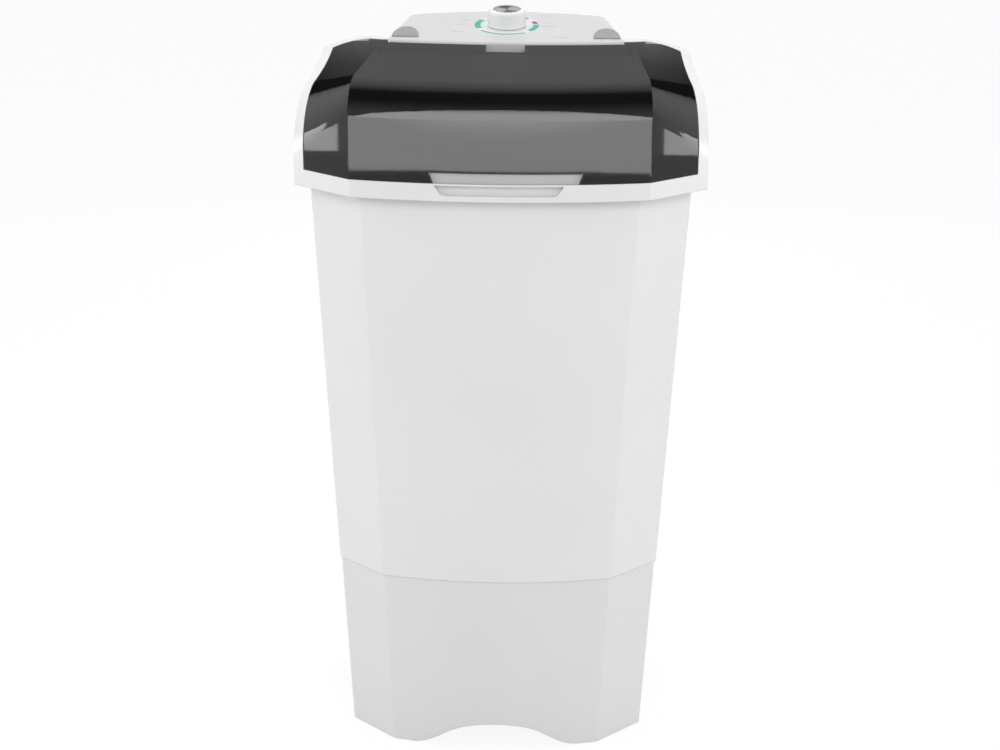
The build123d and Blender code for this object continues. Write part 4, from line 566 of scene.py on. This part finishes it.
teal_ink = moulded("teal_ink", (0.012, 0.38, 0.30), 0.35, 0.05, 60.0, 1500.0, 0.000005, 0.0)
magenta_ink = moulded("magenta_ink", (0.30, 0.02, 0.15), 0.35, 0.05, 60.0, 1500.0, 0.000005, 0.0)
grey_ink = moulded("grey_ink", (0.42, 0.42, 0.43), 0.4, 0.05, 60.0, 1500.0, 0.000005, 0.0)
print_low, print_high = 0.28, 0.36
prints = [
    ("print_arc_left", 38.2, 46.6, 147, 204, teal_ink),
    ("print_arc_front", 43.0, 46.8, 217, 305, teal_ink),
    ("print_arc_right", 38.2, 46.6, -40, 4, teal_ink),
    ("print_mark_right", 38.2, 45.6, 8, 25, magenta_ink),
    ("print_mark_far", 40.0, 46.0, 46, 56, magenta_ink),
    ("print_circle", 35.1, 35.7, 0, 359.9, grey_ink),
]
for name, inner, outer, start, end, ink in prints:
    sector = arc_plate(inner, outer, start, end, print_low, print_high, knob_place)
    make_object(name, sector, ink, "cabinet")


def stadium(start, end, half, place, low, high, work):
    """Add a thin bar with round ends to a mesh, between two points of the panel in millimetres."""
    start, end = Vector(start), Vector(end)
    heading = math.atan2(end.y - start.y, end.x - start.x)
    outline = []
    for centre, turn_angle in ((end, heading - math.pi / 2), (start, heading + math.pi / 2)):
        for i in range(9):
            angle = turn_angle + math.pi * i / 8
            outline.append(centre + Vector((math.cos(angle), math.sin(angle))) * half)
    loops = [
        [work.verts.new(place @ (Vector((point.x, point.y, height)) * MM)) for point in outline]
        for height in (low, high)
    ]
    work.faces.new(loops[1])
    work.faces.new(loops[0][::-1])
    for i in range(len(outline)):
        j = (i + 1) % len(outline)
        work.faces.new((loops[0][i], loops[0][j], loops[1][j], loops[1][i]))


CAPTION_HALF = 0.9
CAPTION_LOW, CAPTION_HIGH = -0.02, 0.06
caption_spans = [
    (-65.3, -55.2, 24.7),
    (-69.4, -61.0, 2.0),
    (-77.6, -60.5, -33.5),
    (49.2, 66.9, 47.5),
    (53.5, 71.7, -5.4),
    (68.3, 86.2, -56.0),
]
caption_mesh = bpy.data.meshes.new("print_captions")
work = bmesh.new()
for left, right, across in caption_spans:
    stadium((left, across), (right, across), CAPTION_HALF, knob_place, CAPTION_LOW, CAPTION_HIGH, work)
work.to_mesh(caption_mesh)
work.free()
captions = make_object("print_captions", caption_mesh, grey_ink, "cabinet")


# Grey sheet of painted shade in the lid's front notch, over the frame's white upstand

NOTCH_RADIUS, NOTCH_CENTRE_Y = 685.3, 419.0
NOTCH_SHIFT = 8.5
NOTCH_LOW, NOTCH_HIGH = 801.3, 814.2
NOTCH_LOW_HALF, NOTCH_HIGH_HALF = 88.4, 93.6
SHADE_SHEET_THICKNESS = 0.3
shade_sheet_corners = [
    (NOTCH_LOW_HALF, NOTCH_LOW, SHADE_SHEET_THICKNESS),
    (NOTCH_HIGH_HALF, NOTCH_HIGH, SHADE_SHEET_THICKNESS),
    (NOTCH_HIGH_HALF, NOTCH_HIGH, 0),
    (NOTCH_LOW_HALF, NOTCH_LOW, 0),
]
shade_sheet_mesh = bpy.data.meshes.new("notch_shade_sheet")
work = bmesh.new()
columns = []
for i in range(37):
    share = 2 * i / 36 - 1
    column = []
    for half, height, offset in shade_sheet_corners:
        across = NOTCH_SHIFT + share * half
        angle = math.asin(across / NOTCH_RADIUS)
        back = NOTCH_CENTRE_Y - (NOTCH_RADIUS + offset) * math.cos(angle)
        column.append(work.verts.new(Vector((across, back, height)) * MM))
    columns.append(column)
for left, right in zip(columns, columns[1:]):
    for i in range(4):
        j = (i + 1) % 4
        work.faces.new((left[i], left[j], right[j], right[i]))
work.faces.new(columns[0])
work.faces.new(columns[-1][::-1])
bmesh.ops.recalc_face_normals(work, faces=work.faces)
work.to_mesh(shade_sheet_mesh)
work.free()
notch_shade_sheet = make_object("notch_shade_sheet", shade_sheet_mesh, notch_painted_shade, "cabinet")


# Camera, at the place that the photograph was taken from

image_width = 1000
focal_pixels = 1869.4
sensor = 36.0
pitch = math.radians(16.57)
turn = math.radians(1.1)
roll = math.radians(0.5)
camera_place = (0.047, -2.533, 1.2317)
camera_data = bpy.data.cameras.new("camera")
camera_data.sensor_width = sensor
camera_data.lens = sensor * focal_pixels / image_width
camera_data.clip_start = 0.05
camera_data.clip_end = 100.0
camera = bpy.data.objects.new("camera", camera_data)
scene.collection.objects.link(camera)
ahead = Vector((-math.sin(turn) * math.cos(pitch), math.cos(turn) * math.cos(pitch), -math.sin(pitch)))
right = ahead.cross(Vector((0, 0, 1))).normalized()
up = right.cross(ahead)
right, up = (
    right * math.cos(roll) + up * math.sin(roll),
    up * math.cos(roll) - right * math.sin(roll),
)
camera.matrix_world = Matrix((
    (right.x, up.x, -ahead.x, camera_place[0]),
    (right.y, up.y, -ahead.y, camera_place[1]),
    (right.z, up.z, -ahead.z, camera_place[2]),
    (0, 0, 0, 1),
))
scene.camera = camera


# Floor, world and lamps

def background_rays(tree):
    """One for the rays that see the background: from the camera, off gloss and through glass."""
    path = tree.nodes.new("ShaderNodeLightPath")
    seen = math_node(tree, "MAXIMUM", path.outputs["Is Camera Ray"], path.outputs["Is Glossy Ray"])
    return math_node(tree, "MAXIMUM", seen, path.outputs["Is Transmission Ray"])


def path_white(name, strength, share):
    """White to the camera and to reflections, with the shadow of what stands on it."""
    material, tree, add, output = new_material(name)
    link = tree.links.new
    surface = add("ShaderNodeBsdfDiffuse", Color=(0.82, 0.82, 0.82, 1.0))
    glow = add("ShaderNodeEmission", Color=(1.0, 1.0, 1.0, 1.0), Strength=strength)
    mix = add("ShaderNodeMixShader")
    link(math_node(tree, "MULTIPLY", background_rays(tree), share), mix.inputs[0])
    link(surface.outputs[0], mix.inputs[1])
    link(glow.outputs[0], mix.inputs[2])
    link(mix.outputs[0], output.inputs["Surface"])
    return material


floor_mesh = bpy.data.meshes.new("floor")
floor_half = 30.0
floor_drop = 0.0003
floor_corners = [(x * floor_half, y * floor_half, 0) for x, y in ((-1, -1), (1, -1), (1, 1), (-1, 1))]
floor_mesh.from_pydata(floor_corners, [], [(0, 1, 2, 3)])
floor = bpy.data.objects.new("floor", floor_mesh)
floor.location.z = -floor_drop
floor_mesh.materials.append(path_white("floor_white", 1.04, 0.88))
scene.collection.objects.link(floor)

world = bpy.data.worlds.new("studio")
world.use_nodes = True
scene.world = world
tree = world.node_tree
tree.nodes.clear()
world_output = tree.nodes.new("ShaderNodeOutputWorld")
ambient = tree.nodes.new("ShaderNodeBackground")
ambient.inputs["Strength"].default_value = 0.5
white = tree.nodes.new("ShaderNodeBackground")
white.inputs["Strength"].default_value = 1.0
for background in (ambient, white):
    background.inputs["Color"].default_value = (1.0, 1.0, 1.0, 1.0)
world_mix = tree.nodes.new("ShaderNodeMixShader")
tree.links.new(background_rays(tree), world_mix.inputs[0])
tree.links.new(ambient.outputs[0], world_mix.inputs[1])
tree.links.new(white.outputs[0], world_mix.inputs[2])
tree.links.new(world_mix.outputs[0], world_output.inputs["Surface"])


def softbox(name, place, target, size, power, diffuse=True, glossy=True):
    """Rectangular lamp aimed at a point."""
    lamp_data = bpy.data.lights.new(name, "AREA")
    lamp_data.shape = "RECTANGLE"
    lamp_data.size, lamp_data.size_y = size
    lamp_data.energy = power
    lamp = bpy.data.objects.new(name, lamp_data)
    lamp.location = place
    lamp.rotation_euler = (Vector(target) - Vector(place)).to_track_quat("-Z", "Y").to_euler()
    lamp.visible_camera = False
    lamp.visible_diffuse = diffuse
    lamp.visible_glossy = glossy
    scene.collection.objects.link(lamp)
    return lamp


middle = (0, 0, 0.55)
softbox("left_lamp", (-2.6, -0.6, 1.3), middle, (1.2, 2.0), 20, glossy=False)
softbox("right_lamp", (2.6, -0.6, 1.3), middle, (1.2, 2.0), 18, glossy=False)
softbox("front_lamp", (0.3, -3.6, 2.4), middle, (2.2, 1.4), 42, glossy=False)
softbox("top_lamp", (0, 0.4, 3.0), (0, 0, 0), (1.6, 1.6), 20, glossy=False)
softbox("back_lamp", (0, 3.4, 1.6), middle, (2.2, 1.6), 15, glossy=False)

# Window of light that only the lid mirrors: nearly level below, arched above, brighter upwards
window_low, window_high, window_half = 0.45, 2.8, 1.2
window_tall = window_high - window_low
window_middle = (window_low + window_high) / 2
window_y = -1.5
sill, sill_bow = 0.59, 0.05
crown, crown_bow = 2.74, 1.63
dim_end, bright_start, dim_share = 0.655, 0.70, 0.68
window = softbox(
    "window_light", (0, window_y, window_middle), (0, 0, window_middle),
    (2 * window_half, window_tall), 165, diffuse=False,
)
mirroring = bpy.data.collections.new("mirrors_the_window")
mirroring.objects.link(nodes["lid"])
window.light_linking.receiver_collection = mirroring
window.data.use_nodes = True
tree = window.data.node_tree
tree.nodes.clear()
geometry = tree.nodes.new("ShaderNodeNewGeometry")
split = tree.nodes.new("ShaderNodeSeparateXYZ")
tree.links.new(geometry.outputs["Parametric"], split.inputs[0])
height = split.outputs["Y"]


def in_window(z):
    """Share of the window's height at a real height."""
    return (z - window_low) / window_tall


offset = math_node(tree, "MULTIPLY_ADD", split.outputs["X"], 2.0, -1.0)
square = math_node(tree, "MULTIPLY", offset, offset)
spread = window_half ** 2 / window_tall
sag = math_node(tree, "MULTIPLY", square, sill_bow * spread)
arch = math_node(tree, "MULTIPLY", square, crown_bow * spread)
lower_edge = math_node(tree, "SUBTRACT", in_window(sill), sag)
upper_edge = math_node(tree, "SUBTRACT", in_window(crown), arch)
above = math_node(tree, "GREATER_THAN", height, lower_edge)
below = math_node(tree, "LESS_THAN", height, upper_edge)
rise = tree.nodes.new("ShaderNodeMapRange")
rise.inputs["From Min"].default_value = in_window(dim_end)
rise.inputs["From Max"].default_value = in_window(bright_start)
rise.inputs["To Min"].default_value = dim_share
tree.links.new(height, rise.inputs["Value"])
glow = tree.nodes.new("ShaderNodeEmission")
inside = math_node(tree, "MULTIPLY", above, below)
tree.links.new(math_node(tree, "MULTIPLY", inside, rise.outputs["Result"]), glow.inputs["Strength"])
lamp_output = tree.nodes.new("ShaderNodeOutputLight")
tree.links.new(glow.outputs[0], lamp_output.inputs["Surface"])

side_x = 1.5
for side in (-1, 1):
    strip_place = (side * side_x, -0.75, 0.58)
    softbox(f"side_strip_{side}", strip_place, (0, -0.3, 0.84), (0.3, 0.06), 0.6, diffuse=False)


def card(name, corners, strength):
    """Flat glowing card that only glossy surfaces see."""
    mesh = bpy.data.meshes.new(name)
    mesh.from_pydata(corners, [], [tuple(range(len(corners)))])
    piece = bpy.data.objects.new(name, mesh)
    material, tree, add, output = new_material(name)
    glow = add("ShaderNodeEmission", Strength=strength)
    tree.links.new(glow.outputs[0], output.inputs["Surface"])
    mesh.materials.append(material)
    piece.visible_camera = False
    piece.visible_diffuse = False
    piece.visible_transmission = False
    piece.visible_shadow = False
    scene.collection.objects.link(piece)


side_window = [
    (-0.09, 0.61),
    (-0.01, 0.61),
    (0.5, 0.75),
    (0.5, 1.07),
    (0.31, 1.02),
    (0.19, 0.93),
    (-0.05, 0.70),
    (-0.09, 0.66),
]
side_glow = 6.4
for side, shift in ((-1, 0.0), (1, -0.05)):
    card(f"side_window_{side}", [(side * side_x, y + shift, z) for y, z in side_window], side_glow)
